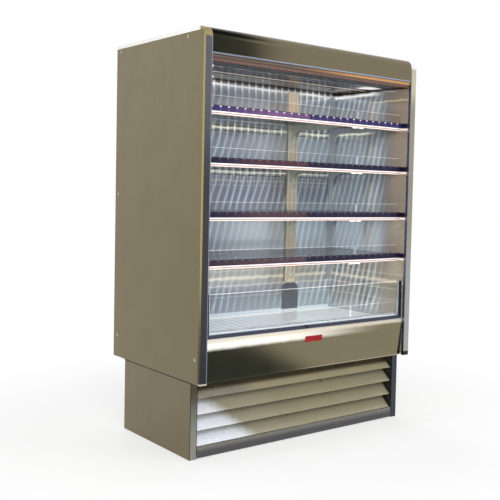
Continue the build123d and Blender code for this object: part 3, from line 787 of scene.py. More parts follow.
@dataclass(frozen=True)
class Steel(Finish):
    """Stainless sheet: brushed lines, colour zones that also hold painted light and shade, and
    light streaks.

    ``zones`` lie under the streaks and ``late`` over them. ``glows`` and ``lit`` give light.
    ``edge`` tints the gloss at a grazing angle, and ``gloss`` is its level.
    """

    rough: float = 0.3
    grain: Axis = Axis.Z
    contrast: float = 0.22
    zones: tuple[Zone, ...] = ()
    streaks: Streaks | None = None
    late: tuple[Zone, ...] = ()
    glows: tuple[GlowLine, ...] = ()
    lit: tuple[Zone, ...] = ()
    metal: float = 1.0
    edge: float = 1.0
    gloss: float = 0.5
    relief: float = 0.03

    def build(self) -> bpy.types.Material:
        """Make the material.

        Returns:
            The material.
        """
        material, sheet, shader, coord = self.sheet()
        stretch = [160.0, 160.0, 160.0]
        stretch[self.grain.value] = 1.6
        brushed = sheet.group(Effects.grain(), {"Coord": coord, "Stretch": tuple(stretch)})
        shade = brushed.outputs["Shade"]
        dark = tuple(c * (1 - self.contrast) for c in self.colour)
        light = tuple(min(1.0, c * (1 + self.contrast)) for c in self.colour)
        colour = sheet.mix(sheet.span(shade, 0.38, 0.62), dark, light)
        colour = self.paint_zones(sheet, coord, colour, self.zones)
        lines = None
        if self.streaks:
            lines = sheet.group(Effects.streaks(), {
                "Along": self.slanted(sheet, coord, self.streaks),
                "Pitch": self.streaks.pitch * MM, "Bend": self.streaks.bend * MM,
                "Coord": coord}).outputs["Mask"]
            for zone in self.streaks.zones:
                lines = sheet.math("MULTIPLY", lines, sheet.math(
                    "ADD", sheet.math("MULTIPLY", self.mask(sheet, coord, zone), zone.amount),
                    1 - zone.amount))
            share = sheet.math("MULTIPLY", lines, self.streaks.amount)
            colour = sheet.mix(share, colour, self.streaks.colour)
        colour = self.paint_zones(sheet, coord, colour, self.late)
        sheet.put(shader.inputs["Base Color"], colour)
        if self.lit or self.glows:
            self.shine(sheet, shader, coord, lines)
        soil = sheet.group(Effects.mottle(), {"Coord": coord, "Scale": 6.0}).outputs["Cloud"]
        rough = sheet.span(soil, 0.3, 0.7, self.rough * 0.85, self.rough * 1.2)
        sheet.put(shader.inputs["Roughness"], rough)
        shader.inputs["Metallic"].default_value = self.metal
        shader.inputs["Specular Tint"].default_value = (self.edge, self.edge, self.edge, 1)
        shader.inputs["Specular IOR Level"].default_value = self.gloss
        self.bump(sheet, shader, brushed.outputs["Height"], self.relief, 0.15)
        return material

    def slanted(self, sheet: NodeSheet, coord: Socket, streaks: Streaks) -> Socket:
        """Place across the streaks, shifted with the height where they slant.

        Args:
            sheet: The material's nodes.
            coord: Object coordinates.
            streaks: The lines.

        Returns:
            The place.
        """
        rise = sheet.math("MULTIPLY", self.along(sheet, coord, Axis.Z), streaks.lean)
        return sheet.math("ADD", self.along(sheet, coord, streaks.axis), rise)

    def shine(self, sheet: NodeSheet, shader: bpy.types.Node, coord: Socket,
              lines: Socket | None) -> None:
        """Light that the sheet throws back: streaks, the rows of lamps, then the lit zones.

        Args:
            sheet: The material's nodes.
            shader: Its shader.
            coord: Object coordinates.
            lines: Mask of the streaks, where there are any.
        """
        light: object = (0.0, 0.0, 0.0)
        if lines and self.streaks and self.streaks.glare:
            glare = self.streaks.glare
            share = sheet.math("MULTIPLY", lines, self.mask(sheet, coord, glare))
            light = sheet.mix(sheet.math("MULTIPLY", share, glare.amount), light, glare.colour)
        for glow in self.glows:
            mask = sheet.group(Effects.glow_line(), {
                "Along": self.along(sheet, coord, Axis.X),
                "Height": self.along(sheet, coord, Axis.Z), "Line": glow.height * MM,
                "Width": glow.width * MM, "Pitch": LAMP_PITCH * MM, "Coord": coord})
            share = sheet.math("MULTIPLY", mask.outputs["Mask"], glow.amount)
            light = sheet.mix(share, light, glow.colour)
        light = self.paint_zones(sheet, coord, light, self.lit)
        sheet.put(shader.inputs["Emission Color"], light)
        shader.inputs["Emission Strength"].default_value = 1.0


@dataclass(frozen=True)
class Spangle(Finish):
    """Galvanised sheet with its crystal pattern."""

    def build(self) -> bpy.types.Material:
        """Make the material.

        Returns:
            The material.
        """
        material, sheet, shader, coord = self.sheet()
        cells = sheet.add("TexVoronoi", {"Vector": coord, "Scale": 70.0})
        flake = sheet.add("SeparateColor", {0: cells.outputs["Color"]}).outputs[0]
        cloud = sheet.group(Effects.mottle(), {"Coord": coord, "Scale": 4.0}).outputs["Cloud"]
        dark = tuple(c * 0.72 for c in self.colour)
        colour = sheet.mix(flake, dark, self.colour)
        colour = sheet.mix(sheet.span(cloud, 0.45, 0.75, 0.0, 0.35), colour,
                           tuple(c * 0.85 for c in self.colour))
        sheet.put(shader.inputs["Base Color"], colour)
        sheet.put(shader.inputs["Roughness"], sheet.span(flake, 0, 1, 0.34, 0.5))
        shader.inputs["Metallic"].default_value = 0.9
        self.bump(sheet, shader, flake, 0.08, 0.2)
        return material


@dataclass(frozen=True)
class Coating(Finish):
    """Enamel, moulded plastic, rubber or foam: mottled, with its own gloss and zones."""

    rough: float = 0.45
    metal: float = 0.0
    vary: float = 0.12
    texture: float = 300.0
    relief: float = 0.06
    zones: tuple[Zone, ...] = ()
    coat: float = 0.0
    gloss: float = 0.5
    glints: tuple[Zone, ...] = ()

    def build(self) -> bpy.types.Material:
        """Make the material.

        Returns:
            The material.
        """
        material, sheet, shader, coord = self.sheet()
        marks = sheet.group(Effects.mottle(), {"Coord": coord, "Scale": 9.0})
        dark = tuple(c * (1 - self.vary) for c in self.colour)
        light = tuple(min(1.0, c * (1 + self.vary)) for c in self.colour)
        colour = sheet.mix(sheet.span(marks.outputs["Cloud"], 0.35, 0.65), dark, light)
        speck = sheet.math("MULTIPLY", marks.outputs["Speck"], 0.18)
        colour = sheet.mix(speck, colour, tuple(min(1.0, c * 1.6 + 0.02) for c in self.colour))
        colour = self.paint_zones(sheet, coord, colour, self.zones)
        # painted glints, one at each lamp chip
        if self.glints:
            turns = sheet.math("MULTIPLY", self.along(sheet, coord, Axis.X),
                               math.tau / (LAMP_PITCH * MM))
            chip = sheet.span(sheet.math("COSINE", turns), 0.55, 0.95, 0.0, 1.0, True)
            for zone in self.glints:
                share = sheet.math("MULTIPLY", chip, self.mask(sheet, coord, zone))
                colour = sheet.mix(sheet.math("MULTIPLY", share, zone.amount), colour, zone.colour)
        sheet.put(shader.inputs["Base Color"], colour)
        sheet.put(shader.inputs["Roughness"], sheet.span(
            marks.outputs["Cloud"], 0.3, 0.7, self.rough * 0.85, min(1.0, self.rough * 1.2)))
        shader.inputs["Metallic"].default_value = self.metal
        shader.inputs["Coat Weight"].default_value = self.coat
        shader.inputs["Specular IOR Level"].default_value = self.gloss
        self.bump(sheet, shader, sheet.noise(coord, self.texture, 3.0), self.relief, 0.4)
        return material


@dataclass(frozen=True)
class Clear(Finish):
    """Clear sheet whose cut edges catch the light."""

    edges: tuple[Zone, ...] = ()
    glow: float = 0.8
    index: float = 1.12

    def build(self) -> bpy.types.Material:
        """Make the material.

        Returns:
            The material.
        """
        material, sheet, shader, coord = self.sheet()
        rim: object = (0.0, 0.0, 0.0)
        rim = self.paint_zones(sheet, coord, rim, self.edges)
        sheet.put(shader.inputs["Emission Color"], rim)
        shader.inputs["Emission Strength"].default_value = self.glow
        shader.inputs["Base Color"].default_value = (*self.colour, 1)
        shader.inputs["Transmission Weight"].default_value = 1.0
        shader.inputs["IOR"].default_value = self.index
        smear = sheet.group(Effects.mottle(), {"Coord": coord, "Scale": 5.0}).outputs["Cloud"]
        sheet.put(shader.inputs["Roughness"], sheet.span(smear, 0.5, 0.8, 0.0, 0.003))
        shadow = sheet.add("LightPath").outputs["Is Shadow Ray"]
        through = sheet.add("BsdfTransparent")
        both = sheet.add("MixShader", {0: shadow, 1: shader.outputs[0], 2: through.outputs[0]})
        out = material.node_tree.nodes["Material Output"]
        sheet.put(out.inputs["Surface"], both.outputs[0])
        return material


@dataclass(frozen=True)
class Glow(Finish):
    """Light chips in a row across the cabinet, on a pale strip."""

    strength: float = 4.0

    def build(self) -> bpy.types.Material:
        """Make the material.

        Returns:
            The material.
        """
        material, sheet, shader, coord = self.sheet()
        turns = sheet.math("MULTIPLY", self.along(sheet, coord, Axis.X),
                           math.tau / (LAMP_PITCH * MM))
        chip = sheet.span(sheet.math("COSINE", turns), -0.4, 0.6, 0.25, 1.0, True)
        grime = sheet.group(Effects.mottle(), {"Coord": coord, "Scale": 30.0}).outputs["Cloud"]
        chip = sheet.math("MULTIPLY", chip, sheet.span(grime, 0.3, 0.7, 0.85, 1.0))
        dim = tuple(c * 0.2 for c in self.colour)
        for name in ("Emission Color", "Base Color"):
            sheet.put(shader.inputs[name], sheet.mix(chip, dim, self.colour))
        shader.inputs["Emission Strength"].default_value = self.strength
        return material


_MATERIALS: dict[str, bpy.types.Material] = {}


def material_of(finish: Finish) -> bpy.types.Material:
    """The material of a finish, made at its first use.

    Args:
        finish: The finish.

    Returns:
        Its material.
    """
    if finish.name not in _MATERIALS:
        _MATERIALS[finish.name] = finish.build()
    return _MATERIALS[finish.name]


def dress(finish: Finish, *nodes: str) -> None:
    """Give nodes of the frame a finish.

    Args:
        finish: What they are made of.
        *nodes: Names of the nodes.
    """
    for node in nodes:
        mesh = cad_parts[node].data
        mesh.materials.clear()
        mesh.materials.append(material_of(finish))


def place(piece: bpy.types.Object, name: str, body: str, finish: Finish,
          stands_for: Sequence[str] = ()) -> bpy.types.Object:
    """Name a finished piece, give it its finish and let it ride on its body.

    Args:
        piece: The finished mesh.
        name: What it is called.
        body: The body that carries it.
        finish: What it is made of.
        stands_for: Nodes that it is shown instead of.

    Returns:
        The same piece.
    """
    settle(piece)
    piece.name = piece.data.name = name
    bpy.ops.object.shade_smooth_by_angle(angle=math.radians(SMOOTH_ANGLE))
    piece.data.materials.clear()
    piece.data.materials.append(material_of(finish))
    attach(piece, body)
    if stands_for:
        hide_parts(*stands_for)
    LOG.info("%s rides on %s: %d faces", name, body, len(piece.data.polygons))
    return piece


# ---------------------------------------------------------------- what each surface is made of
DEEP = -2000.0             # past any piece, for a zone with one open end
FAR = 4000.0
PANEL = Steel("panel_steel", "brushed_stainless", tone(131, 121, 96), rough=0.34, grain=Axis.Z,
              contrast=0.07, zones=(      # a little deeper towards the floor
                  Zone(Axis.Z, DEEP, 1250, tone(123, 113, 87), soft=600),))
HEADER = Steel("header_steel", "brushed_stainless", tone(124, 115, 93), rough=0.13, grain=Axis.X,
               contrast=0.05, late=(       # painted reflection: dark left end of the rounded top edge
                   Zone(Axis.Z, 1874, FAR, tone(44, 45, 36), soft=5, amount=0.9,
                        within=Zone(Axis.X, DEEP, 290, soft=130)),))
BUMPER = Steel("bumper_steel", "brushed_stainless", tone(128, 119, 96), rough=0.15, grain=Axis.X,
               contrast=0.05, late=(       # painted highlight along the fold at the foot
                   Zone(Axis.Z, 345, 356, tone(196, 188, 166), soft=2, amount=0.6),), lit=(
                   # painted highlight on the rolled top edge: white on the left, duller all along
                   Zone(Axis.Z, 500, 560, tone(255, 252, 246), soft=10, ragged=5,
                        within=Zone(Axis.X, DEEP, 740, soft=400)),
                   Zone(Axis.Z, 530, 560, tone(208, 200, 188), soft=8, ragged=3, amount=0.85)))
LEG = Zone(Axis.X, DEEP, 2.6, soft=0.2)      # side leg of the left trim
# one trim part: the left finish is its shaded copy and the right its lit copy
TRIM_LEFT = Steel("trim_steel_left_shaded", "trim_stainless", tone(49, 48, 49), rough=0.24,
                  grain=Axis.Z, contrast=0.10, metal=0.3, gloss=0.2, zones=(
                      # painted light and shade: paler towards the top, darker at the foot
                      Zone(Axis.Z, 1450, FAR, tone(86, 85, 89), soft=260),
                      Zone(Axis.Z, DEEP, 520, tone(47, 46, 45), soft=120)), late=(
                      # painted reflections: bluish inner edge, warm side leg and cap, white upper
                      # leg, pale foot
                      Zone(Axis.X, 34.5, 60, tone(150, 158, 190), soft=1.5, amount=0.5),
                      Zone(Axis.Z, 700, FAR, tone(160, 148, 98), soft=300, within=LEG),
                      Zone(Axis.Z, 1862, FAR, tone(153, 138, 96), soft=5),
                      Zone(Axis.Y, 46, FAR, tone(246, 246, 242), soft=12),
                      Zone(Axis.Z, DEEP, 358, tone(186, 178, 158), soft=1)))
TRIM_RIGHT = Steel("trim_steel_right_lit", "trim_stainless", tone(158, 153, 138), rough=0.24,
                   grain=Axis.Z, contrast=0.06, zones=(
                       # painted light: paler low down, cream towards the top
                       Zone(Axis.Z, DEEP, 900, tone(166, 166, 165), soft=200),
                       Zone(Axis.Z, 1700, FAR, tone(204, 198, 174), soft=60)), late=(
                       # painted reflections and shade: bluish inner edge, white cap, dark foot
                       Zone(Axis.X, 1250, 1261, tone(132, 140, 164), soft=1.5, amount=0.8),
                       Zone(Axis.Z, 1858, FAR, tone(250, 250, 248), soft=6),
                       Zone(Axis.Z, DEEP, 372, tone(52, 50, 46), soft=1)))
LOUVER_LOWS = (60, 130, 202, 274)             # lower edges of the four louvers
LOUVER = Steel("louver_steel", "brushed_stainless", tone(147, 141, 117), rough=0.3, grain=Axis.X,
               contrast=0.04, metal=0.3, relief=0.01, late=(
                   # painted reflection: paler left half
                   Zone(Axis.X, DEEP, 640, tone(172, 170, 162), soft=90, amount=0.15, lean=1.0),
                   # dull left end of the top louver
                   Zone(Axis.Z, 262, 345, tone(130, 127, 119), soft=14, within=Zone(
                       Axis.X, DEEP, 330, soft=90)),
                   # painted reflection: white patch below the top louver
                   Zone(Axis.X, DEEP, 415, tone(218, 222, 229), soft=52, lean=1.2, ragged=50,
                        within=Zone(Axis.Z, DEEP, 262, soft=22)),
                   # painted shade: under each louver, dark right end, dark slot over the top louver
                   *(Zone(Axis.Z, low + 36, low + 60, tone(128, 123, 104), soft=9, amount=0.45)
                     for low in LOUVER_LOWS),
                   Zone(Axis.X, 1238, FAR, tone(46, 43, 38), soft=2),
                   Zone(Axis.Y, 80.5, 140, tone(60, 55, 46), soft=1,
                        within=Zone(Axis.Z, 300, 345, soft=8, amount=0.6))))
KICK = Steel("kick_steel", "trim_stainless", tone(76, 76, 79), rough=0.26, grain=Axis.X,
             contrast=0.09, metal=0.6, late=(     # paler upper edge
                 Zone(Axis.Z, 38, 80, tone(122, 120, 112), soft=12, amount=0.8),))
CORNER = Zone(Axis.Y, 70, 79.6, soft=0.3)     # front face of the corner posts
BASE = Steel("base_steel", "brushed_stainless", tone(122, 112, 88), rough=0.34, grain=Axis.Z,
             contrast=0.07, zones=(
                 Zone(Axis.Z, DEEP, 260, tone(152, 151, 142), soft=60, within=CORNER),), late=(
                 # painted shade: dark right post, outer and inner edge of the left post
                 Zone(Axis.X, 1240, FAR, tone(70, 73, 82), soft=1, within=CORNER),
                 Zone(Axis.X, DEEP, 7.5, tone(62, 54, 42), soft=0.5, within=CORNER),
                 Zone(Axis.X, 38, 50, tone(62, 60, 62), soft=0.8, within=CORNER)))
BACK_BLUE, STREAK_BLUE = tone(146, 156, 169), tone(220, 235, 250)
# the rows of lamps as the back sheet shows them, from the canopy's downwards
GLOWS = (GlowLine(1750, 9.5, 0.95),
         GlowLine(1531, 5.5, 0.9, tone(246, 244, 216)),
         GlowLine(1300, 4.5, 0.65, tone(238, 238, 212)),
         GlowLine(1254, 1.4, 0.3, tone(230, 215, 150)),
         GlowLine(1230, 1.2, 0.2, tone(220, 190, 160)))
# painted shade: dark band under the ceiling
DARK_HEAD = Zone(Axis.Z, 1757, FAR, tone(74, 66, 62), soft=5, ragged=14)
RIGHT_HAND = tone(188, 196, 203)
# painted reflections: faint beige lines across the back and side sheets
BEIGE_LINES = tuple(Zone(Axis.Z, low, high, tone(198, 184, 160), soft, amount, ragged)
                    for low, high, soft, amount, ragged in (
                        (727, 741, 9, 0.6, 16), (691, 697, 6, 0.4, 13),
                        (771, 776, 6, 0.25, 18), (633, 638, 5, 0.25, 12)))
# painted reflections of the shelf fronts in the first strip of the side liners
SLIVER = Zone(Axis.Y, DEEP, 72, soft=2)
CHANNEL_IMAGES = tuple(Zone(Axis.Z, top - 25, top - 1, tone(40, 34, 62), soft=1.2, within=SLIVER)
                       for top in SHELF_TOPS)
LIGHT_IMAGES = tuple(Zone(Axis.Z, top - 37, top - 28, tone(206, 196, 194), soft=1.5,
                          within=SLIVER) for top in SHELF_TOPS)
BACK = Steel("duct_sheet", "mirror_stainless", BACK_BLUE, rough=0.14, grain=Axis.Z, contrast=0.12,
             zones=(    # painted light: paler on the right, deeper on the left and in the third bay
                    Zone(Axis.X, 700, FAR, RIGHT_HAND, soft=420),
                    Zone(Axis.X, DEEP, 360, tone(122, 128, 140), soft=220, amount=0.9),
                    Zone(Axis.Z, 1120, 1360, tone(120, 127, 140), soft=60, amount=0.8),
                    Zone(Axis.Z, 1130, 1560, tone(104, 112, 128), soft=40, amount=0.42,
                         within=Zone(Axis.X, DEEP, 760, soft=220)),
                    # painted reflections: grey low in the middle, warm behind the glass, pale in
                    # the fourth bay
                    Zone(Axis.Z, 560, 690, tone(122, 122, 130), soft=16, amount=0.4, ragged=30,
                         within=Zone(Axis.X, 330, 960, soft=110)),
                    Zone(Axis.Z, 700, 860, tone(186, 182, 170), soft=40, amount=0.8, ragged=60),
                    Zone(Axis.Z, 850, 1060, tone(206, 216, 222), soft=50, amount=0.8,
                         within=Zone(Axis.X, 560, FAR, soft=200)),
                    DARK_HEAD),
             streaks=Streaks(Axis.X, STREAK_BLUE, lean=-0.26, amount=0.6, zones=(
                 Zone(Axis.Z, 560, 1740, soft=30),),
                 glare=Zone(Axis.X, 1000, FAR, tone(116, 128, 138), soft=160)),
             glows=GLOWS, lit=(     # painted light lifting the shade on the foot behind the deck
                 Zone(Axis.Z, DEEP, 552, tone(150, 154, 160), soft=4), *BEIGE_LINES), metal=0.45)
LINER = Steel("liner_sheet", "mirror_stainless", BACK_BLUE, rough=0.12, grain=Axis.Z, contrast=0.1,
              zones=(   # painted reflections: pale at the back, brownish in front, bay by bay
                     Zone(Axis.Z, 1120, 1360, tone(120, 127, 140), soft=60, amount=0.8),
                     Zone(Axis.Y, 200, FAR, tone(200, 207, 212), soft=80),
                     Zone(Axis.Y, DEEP, 170, tone(184, 167, 149), soft=80),
                     Zone(Axis.Z, 560, 860, tone(174, 163, 146), soft=60, amount=0.8, ragged=60),
                     Zone(Axis.Z, 850, 1060, tone(238, 244, 248), soft=60, amount=0.9,
                          within=Zone(Axis.Y, 200, FAR, soft=80)),
                     DARK_HEAD), late=CHANNEL_IMAGES,
              streaks=Streaks(Axis.Y, STREAK_BLUE, lean=0.3, amount=0.9, zones=(
                  Zone(Axis.Y, 190, 620, soft=60), Zone(Axis.Z, 560, 1740, soft=30)),
                  glare=Zone(Axis.Y, 190, FAR, tone(110, 122, 132), soft=60)),
              lit=(     # painted lamp light: the canopy's at the back and in front, then the first shelf's
                  Zone(Axis.Z, 1740, 1752, tone(238, 238, 234), soft=9, ragged=16,
                       within=Zone(Axis.Y, 260, FAR, soft=60)),
                  Zone(Axis.Z, 1700, 1705, tone(214, 192, 150), soft=4, ragged=18, amount=0.6,
                       within=Zone(Axis.Y, DEEP, 290, soft=50)),
                  Zone(Axis.Z, 1529, 1539, tone(235, 232, 205), soft=6, ragged=18, amount=0.7,
                       within=Zone(Axis.Y, 300, FAR, soft=60)),
                  *BEIGE_LINES, *LIGHT_IMAGES), metal=0.5)
# depth of the white painted reflection at the ceiling's right end
GLARE_DEPTH = Zone(Axis.Y, 200, 290, soft=14, ragged=40)
# painted reflections: the ceiling's bands and lines, and a white patch at its right end
CEILING_SHEET = Steel("ceiling_sheet", "mirror_stainless", tone(54, 51, 53), rough=0.12,
                      grain=Axis.X, contrast=0.3, metal=0.42, edge=0.02, gloss=0.08, zones=(
                          Zone(Axis.Y, 120, 300, tone(66, 72, 104), soft=25, ragged=60),
                          Zone(Axis.Y, 390, 540, tone(120, 92, 70), soft=25, ragged=60)), lit=(
                          Zone(Axis.Y, 343, 360, tone(196, 176, 158), soft=6, ragged=14),
                          Zone(Axis.Y, 196, 202, tone(176, 164, 152), soft=3, ragged=46),
                          Zone(Axis.Y, 250, 256, tone(110, 96, 84), soft=3, ragged=60),
                          Zone(Axis.Y, 418, 424, tone(160, 146, 130), soft=4, ragged=54),
                          Zone(Axis.Y, 470, 478, tone(96, 84, 76), soft=4, ragged=26),
                          Zone(Axis.X, 1130, 1235, tone(228, 222, 220), soft=14, ragged=40,
                               within=GLARE_DEPTH)))
DECK_SHEET = Steel("deck_sheet", "mirror_stainless", tone(186, 192, 204), rough=0.16,
                   grain=Axis.Y, contrast=0.08, metal=0.1,
                   streaks=Streaks(Axis.X, tone(255, 255, 255), amount=0.9), lit=(
                       # painted light over the whole deck, stronger to the right
                       Zone(Axis.X, DEEP, FAR, tone(128, 128, 131)),
                       Zone(Axis.X, 520, FAR, tone(152, 148, 144), soft=240)))
GRILLE = Steel("grille_sheet", "mirror_stainless", tone(225, 228, 235), rough=0.3, grain=Axis.X,
               contrast=0.06, metal=0.3)
MIDDLE = Zone(Axis.X, 880, 1025, soft=4)      # the middle pair of standards and brackets
STANDARD = Steel("standard_enamel", "bracket_steel", BACK_BLUE, rough=0.3, contrast=0.08,
                 metal=0.2, streaks=Streaks(Axis.X, STREAK_BLUE), late=(
                     # painted reflections: right standard, middle pair, and the sides of the middle
                     # pair
                     Zone(Axis.X, 1100, FAR, tone(196, 202, 206), soft=4),
                     Zone(Axis.X, 880, 1025, tone(226, 212, 188), soft=4),
                     Zone(Axis.Y, 602.5, 640, tone(176, 164, 144), soft=0.5, within=MIDDLE)),
                 # painted light on the middle pair above the top shelf
                 lit=(Zone(Axis.Z, 1590, FAR, tone(118, 110, 96), soft=14, within=MIDDLE),))
BRACKET = Steel("bracket_enamel", "bracket_steel", BACK_BLUE, rough=0.3, contrast=0.08,
                metal=0.2, streaks=Streaks(Axis.Y, STREAK_BLUE), zones=(
                    # painted reflections: pale at the back, warm in front
                    Zone(Axis.Y, 200, FAR, tone(204, 210, 214), soft=35),
                    Zone(Axis.Y, DEEP, 200, tone(176, 160, 143), soft=35, ragged=20)), late=(
                    # painted highlight on the middle pair
                    Zone(Axis.X, 880, 1025, tone(218, 220, 206), soft=4),))
WRAP = Spangle("galvanised_sheet", "galvanised", tone(168, 172, 174))
FOAM = Coating("rigid_foam", "foam", tone(226, 212, 168), rough=0.9, texture=240, relief=0.3)
ALUMINIUM = Steel("satin_aluminium", "aluminium", tone(196, 198, 200), rough=0.35, grain=Axis.X,
                  contrast=0.06)
LAMP_HOUSING = Steel("lamp_housing", "aluminium", tone(92, 80, 70), rough=0.22, grain=Axis.X,
                     contrast=0.4, metal=0.5, late=(
                         # from its top edge down, with the warm stripe on the right
                         Zone(Axis.Z, 1790, 1800, tone(138, 146, 164), soft=1.2),
                         Zone(Axis.Z, 1784, 1789, tone(58, 46, 40), soft=1.5, amount=0.8),
                         Zone(Axis.Z, 1771, 1775, tone(70, 40, 34), soft=1.5, amount=0.8),
                         Zone(Axis.X, 700, FAR, tone(198, 146, 90), soft=260, amount=0.75,
                              within=Zone(Axis.Z, 1774, 1786, soft=2)),
                         Zone(Axis.Z, 1760, 1765, tone(140, 92, 80), soft=1)))
GASKET = Coating("black_moulding", "black_plastic", tone(28, 27, 28), rough=0.5, texture=500,
                 gloss=0.2)
PALE_PLASTIC = Coating("pale_moulding", "dark_channel", tone(232, 230, 224), rough=0.35, vary=0.04)
RED = Coating("red_enamel", "red_plate", tone(128, 17, 23), rough=0.3, vary=0.05, gloss=0.2)
SCREW = Steel("screw_steel", "screw_steel", tone(176, 170, 150), rough=0.2, contrast=0.1,
              metal=0.8)
BLACK_ENAMEL = Coating("black_enamel", "black_enamel", tone(30, 30, 31), rough=0.35, coat=0.3)
GREY_ENAMEL = Coating("grey_enamel", "grey_enamel", tone(142, 146, 148), rough=0.45)
COPPER = Coating("copper_pipe", "aluminium", tone(196, 122, 84), rough=0.3, metal=1.0, vary=0.2)
RUBBER = Coating("foot_rubber", "black_plastic", tone(34, 34, 35), rough=0.8, texture=700)
STRAP = Steel("strap_steel", "mirror_stainless", tone(112, 116, 124), rough=0.22, contrast=0.15,
              metal=0.5)
CANOPY_CHIPS = Glow("canopy_light_chips", "clear_acrylic", (0.34, 0.16, 0.13), strength=0.3)
BEAD = Steel("bead_aluminium", "aluminium", tone(226, 228, 232), rough=0.3, contrast=0.05)
FRAME_BLUE = Coating("glass_frame_black", "black_plastic", tone(26, 26, 30), rough=0.3, zones=(
    Zone(Axis.Z, 540, 562.5, tone(48, 52, 66), soft=0.5),), gloss=0.2)
GLASS = Clear("front_glass", "clear_glass", (0.93, 0.97, 0.96), edges=(
    Zone(Axis.Z, 742, 750, tone(226, 218, 212), soft=0.5),), glow=0.6)


NAVY = tone(28, 24, 46)
SHELF_LOOKS = (            # light strength; painted reflection colours of the tickets at the start, left and right
    # the first shelf's colours are paler, painted light
    (8.0, tone(48, 40, 84), tone(92, 66, 100), tone(42, 36, 78)),
    (8.0, NAVY, tone(66, 42, 50), NAVY),
    (15.0, NAVY, tone(64, 46, 52), NAVY),
    (34.0, tone(48, 38, 46), tone(66, 52, 58), NAVY))


def shelf_finish(number: int, top: float) -> Steel:
    """Bright shelf sheet with a darker, warmer underside of painted shade and sheen, for a shelf at
    a height.

    Args:
        number: Which shelf, from the top.
        top: Height of the shelf.

    Returns:
        The finish.
    """
    return Steel(f"shelf_sheet_{number}", "mirror_stainless", tone(176, 180, 186), rough=0.16,
                 grain=Axis.X, contrast=0.10, metal=0.5, edge=0.2, gloss=0.1, late=(
                     # painted shade on the underside, and its warm painted sheen
                     Zone(Axis.Z, DEEP, top - 8, tone(136, 116, 84), soft=2, ragged=1),), lit=(
                     Zone(Axis.Y, 150, 230, tone(150, 142, 110), soft=26, ragged=70, amount=0.5,
                          within=Zone(Axis.Z, DEEP, top - 8, soft=1)),
                     # painted light on the top, seen through the stop
                     Zone(Axis.Z, top - 4, FAR, tone(84, 92, 104), soft=1)))


def channel_finish(number: int, top: float) -> Coating:
    """Dark ticket channel over its pale light bar.

    Args:
        number: Which shelf, from the top.
        top: Height of the channel's top edge.

    Returns:
        The finish, with its zones at that height.
    """
    return Coating(f"channel_{number}", "dark_channel", tone(34, 30, 44), rough=0.35, gloss=0.15,
                   zones=(     # light bar, its shadow line, and the lip below
                          Zone(Axis.Z, top - 32, top - 26.5, tone(240, 232, 236)),
                          Zone(Axis.Z, top - 36, top - 32, tone(160, 122, 108)),
                          Zone(Axis.Z, top - 42, top - 36, tone(222, 206, 198))))


def stop_finish(number: int, top: float) -> Clear:
    """Clear stop with painted highlights on its edges, for a stop whose top edge is at a height.

    Args:
        number: Which shelf, from the top; 5 is the deck.
        top: Height of its top edge.

    Returns:
        The finish.
    """
    pale = tone(196, 188, 182)
    tint = (0.93, 0.88, 0.84) if number == 1 else (0.96, 0.97, 0.98)
    return Clear(f"clear_stop_{number}", "clear_acrylic", tint, edges=(
        Zone(Axis.Z, top - 1.8, top + 5, pale, soft=0.5),
        Zone(Axis.X, SECTION_JOINT - 5, SECTION_JOINT + 5, pale, soft=0.5)), glow=0.4)


# ---------------------------------------------------------------- sub-assemblies
@dataclass
class EndPanels:
    """Both end walls: their screws, and black seals on top of the base that also stand in for its
    shadow gap.
    """

    spots: tuple[tuple[float, float], ...] = (
        (782.0, 1874.0), (143.0, 1871.0), (794.0, 1171.0), (786.0, 460.0), (43.0, 459.0))
    head_radius: float = 8.0
    head_height: float = 1.5
    head_round: float = 1.2
    recess: tuple[float, float, float] = (4.2, 0.8, 0.8)    # arm, half width, depth
    shadow_seal: tuple[Point, Point] = ((2.0, 79.0, 345.5), (5.1, 704.0, 350.9))

    def screw(self) -> bpy.types.Object:
        """A pan-head screw with a cross recess, on the left side at the first spot.

        Returns:
            The screw.
        """
        y, z = self.spots[0]
        head = bar((self.head_height, y, z), (0, y, z), self.head_radius, 28)
        bevel_edges(head, self.head_round, 4,
                    lambda spot, way: abs(spot.x - at(0, 0, 0).x) < SAME_PLACE)
        arm, half, deep = self.recess
        for dy, dz in ((arm, half), (half, arm)):
            head = cut(head, block((-0.2, y - dy, z - dz), (deep, y + dy, z + dz)))
        return head

    def build(self) -> None:
        """Make the screws and the black seals that also stand in for the shadow gap."""
        first = self.screw()
        y0, z0 = self.spots[0]
        heads = [first] + [copy_of(first, 0, y - y0, z - z0) for y, z in self.spots[1:]]
        heads += [mirrored(head) for head in heads]
        place(join(heads), "side_screws", "cabinet", SCREW, ("panel_screws",))
        # black seal strips, standing in also for the shadow gap between body and base
        shadow_seal = block(*self.shadow_seal)
        bevel_edges(shadow_seal, 1.2, 3,
                    lambda spot, way: abs(way.y) > STRAIGHT and spot.x < at(3, 0, 0).x)
        place(join([shadow_seal, mirrored(shadow_seal)]), "base_shadow_seals", "cabinet", GASKET)
        dress(PANEL, "side_skin_left", "side_skin_right")
        dress(TRIM_LEFT, "end_trim_left")
        dress(TRIM_RIGHT, "end_trim_right")


